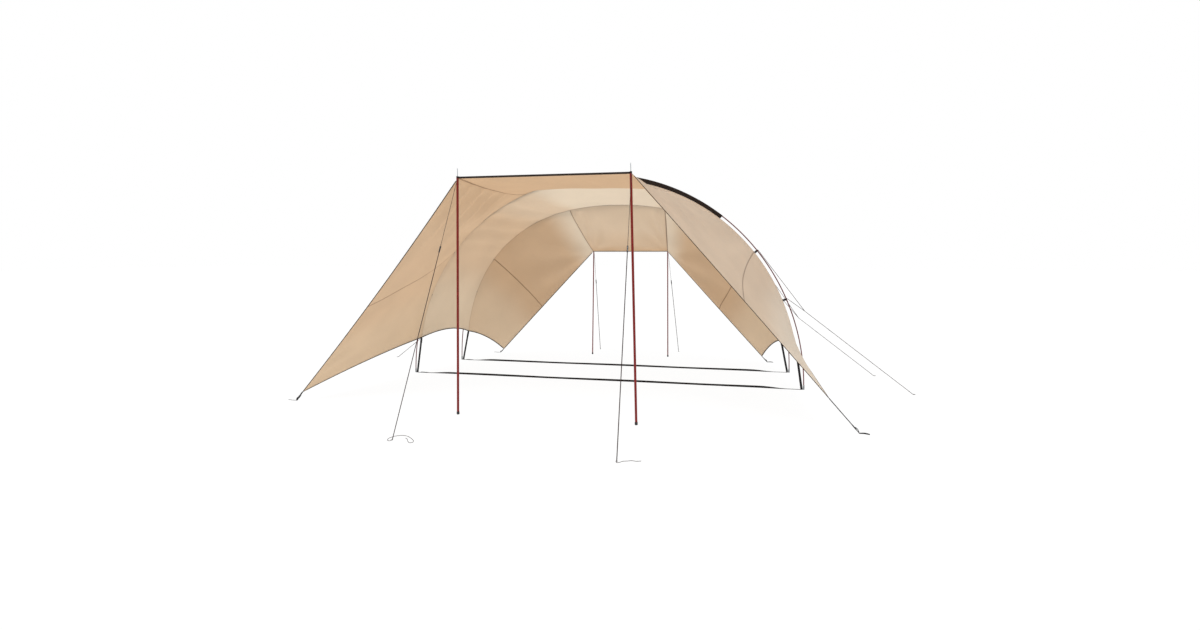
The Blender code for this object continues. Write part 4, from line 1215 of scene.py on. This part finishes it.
# guy lines
def guyLine(name, radius, lead, start, target, sliderShare, node, extras=()):
    # single cord to the slider, two cords side by side below it, and a loop for the peg
    upper = mixed(start, target, sliderShare)
    along = (target - start).normalized()
    flat = Vector((along.x, along.y, 0.0)).normalized()
    across = along.cross(Vector((0, 0, 1))).normalized()
    loopEnd = target + flat * guySettings["pegLoop"]
    single = list(lead) + straightLine([start, upper], 0.12)
    down = [mixed(upper, target, i / 24) for i in range(25)]
    pair = []
    for word, way in (("out", 1.0), ("back", -1.0)):
        pair.append([point + across * way * (radius * 0.92) for point in down])
    bulge = [target + flat * guySettings["pegLoop"] * 0.5 * (1.0 - math.cos(t)) + across * 0.006 * math.sin(t)
             for t in [math.pi * (i + 0.5) / 12 for i in range(12)]]
    loop = pair[0] + bulge[:6] + [loopEnd] + [2.0 * (target + flat * (p - target).dot(flat)) - p + Vector((0, 0, 0))
                                              for p in reversed(bulge[:6])] + list(reversed(pair[1]))
    for point in loop:
        point.z = max(point.z, radius * 1.02)
    pieces = [roundCord(name, single, radius, 8), roundCord(name + "Doubled", loop, radius, 8)]
    pieces += [roundCord(name + "Leg", straightLine(extra, 0.12), radius, 8) for extra in extras]
    cord = joined(pieces, name)
    seat(cord, guyCord, "guy_cord", node)
    runner = copied(slider, name + "Slider", axes(along, across, along.cross(across), upper))
    seat(runner, mouldedAcetal, "black_plastic")
    return cord


for end, targets in ((frontEnd, "frontTarget"), (rearEnd, "rearTarget")):
    ring = guySettings["ringRadius"]
    height = end["ringHeight"] + tapeSettings["ridgeHeight"] / 2 + 0.0015
    for word, side in sides:
        centre = Vector((side * end["ridgeX"], end["poleY"], height))
        coil = [centre + ring * Vector((math.sin(t), -end["forward"] * math.cos(t), 0.0))
                for t in [math.radians(-170.0 + 20.0 * i) for i in range(14)]]
        start = centre + Vector((ring, 0.0, 0.0))
        x, y = guySettings[targets][word]
        target = Vector((x, y, guySettings["groundDrop"]))
        guyLine(end["name"] + "Guy" + word, guySettings["cordRadius"], coil, start, target, 0.30, f"{end['name']}_guy_{word.lower()}")

sideGuySettings = {"front": {"x": 3.510, "knot": (2.370, 0.878)}, "rear": {"x": 3.270, "knot": (2.360, 0.700)}}
for end in (frontEnd, rearEnd):
    own = sideGuySettings[end["name"]]
    for word, side in sides:
        upperClip, lowerClip = [here + outward * 0.0125 for here, outward, tangent in end["clips"][word]]
        knot = Vector((side * own["knot"][0], end["archY"], own["knot"][1]))
        target = Vector((side * own["x"], end["archY"], guySettings["groundDrop"]))
        guyLine(end["name"] + "ArchGuy" + word, guySettings["sideCordRadius"], [upperClip], knot, target, 0.24,
                f"{end['name']}_arch_guy_{word.lower()}", [[lowerClip, knot]])
for maker in (buckle, adjuster, slider, clipHook):
    bpy.data.objects.remove(maker)
print("guy lines tied")

# studio floor and light
studioSettings = {"floorHalf": 60.0, "floorGlow": 0.955, "skyStrength": 1.0, "sunStrength": 1.75,
                  "sunTurn": (32.0, 0.0, 0.0), "sunAngle": 20.0}
bpy.ops.mesh.primitive_plane_add(size=2.0 * studioSettings["floorHalf"], location=(0.0, 0.0, 0.0))
studioFloor = newest("studioFloor")
floorPaper, floorTree, floorShader = newMaterial("paintedStudioFloor", "#404040", 0.9, Specular_IOR_Level=0.0)
floorShader.inputs["Emission Color"].default_value = (1.0, 1.0, 1.0, 1.0)
floorShader.inputs["Emission Strength"].default_value = studioSettings["floorGlow"]
studioFloor.data.materials.append(floorPaper)

world = bpy.data.worlds.new("studioWorld")
bpy.context.scene.world = world
world.use_nodes = True
background = world.node_tree.nodes["Background"]
background.inputs["Color"].default_value = (1.0, 1.0, 1.0, 1.0)
background.inputs["Strength"].default_value = studioSettings["skyStrength"]

sunData = bpy.data.lights.new("softSun", "SUN")
sunData.energy = studioSettings["sunStrength"]
sunData.angle = math.radians(studioSettings["sunAngle"])
softSun = bpy.data.objects.new("softSun", sunData)
softSun.rotation_euler = [math.radians(angle) for angle in studioSettings["sunTurn"]]
softSun.location = (0.0, 0.0, 6.0)
bpy.context.scene.collection.objects.link(softSun)
print("studio lit")
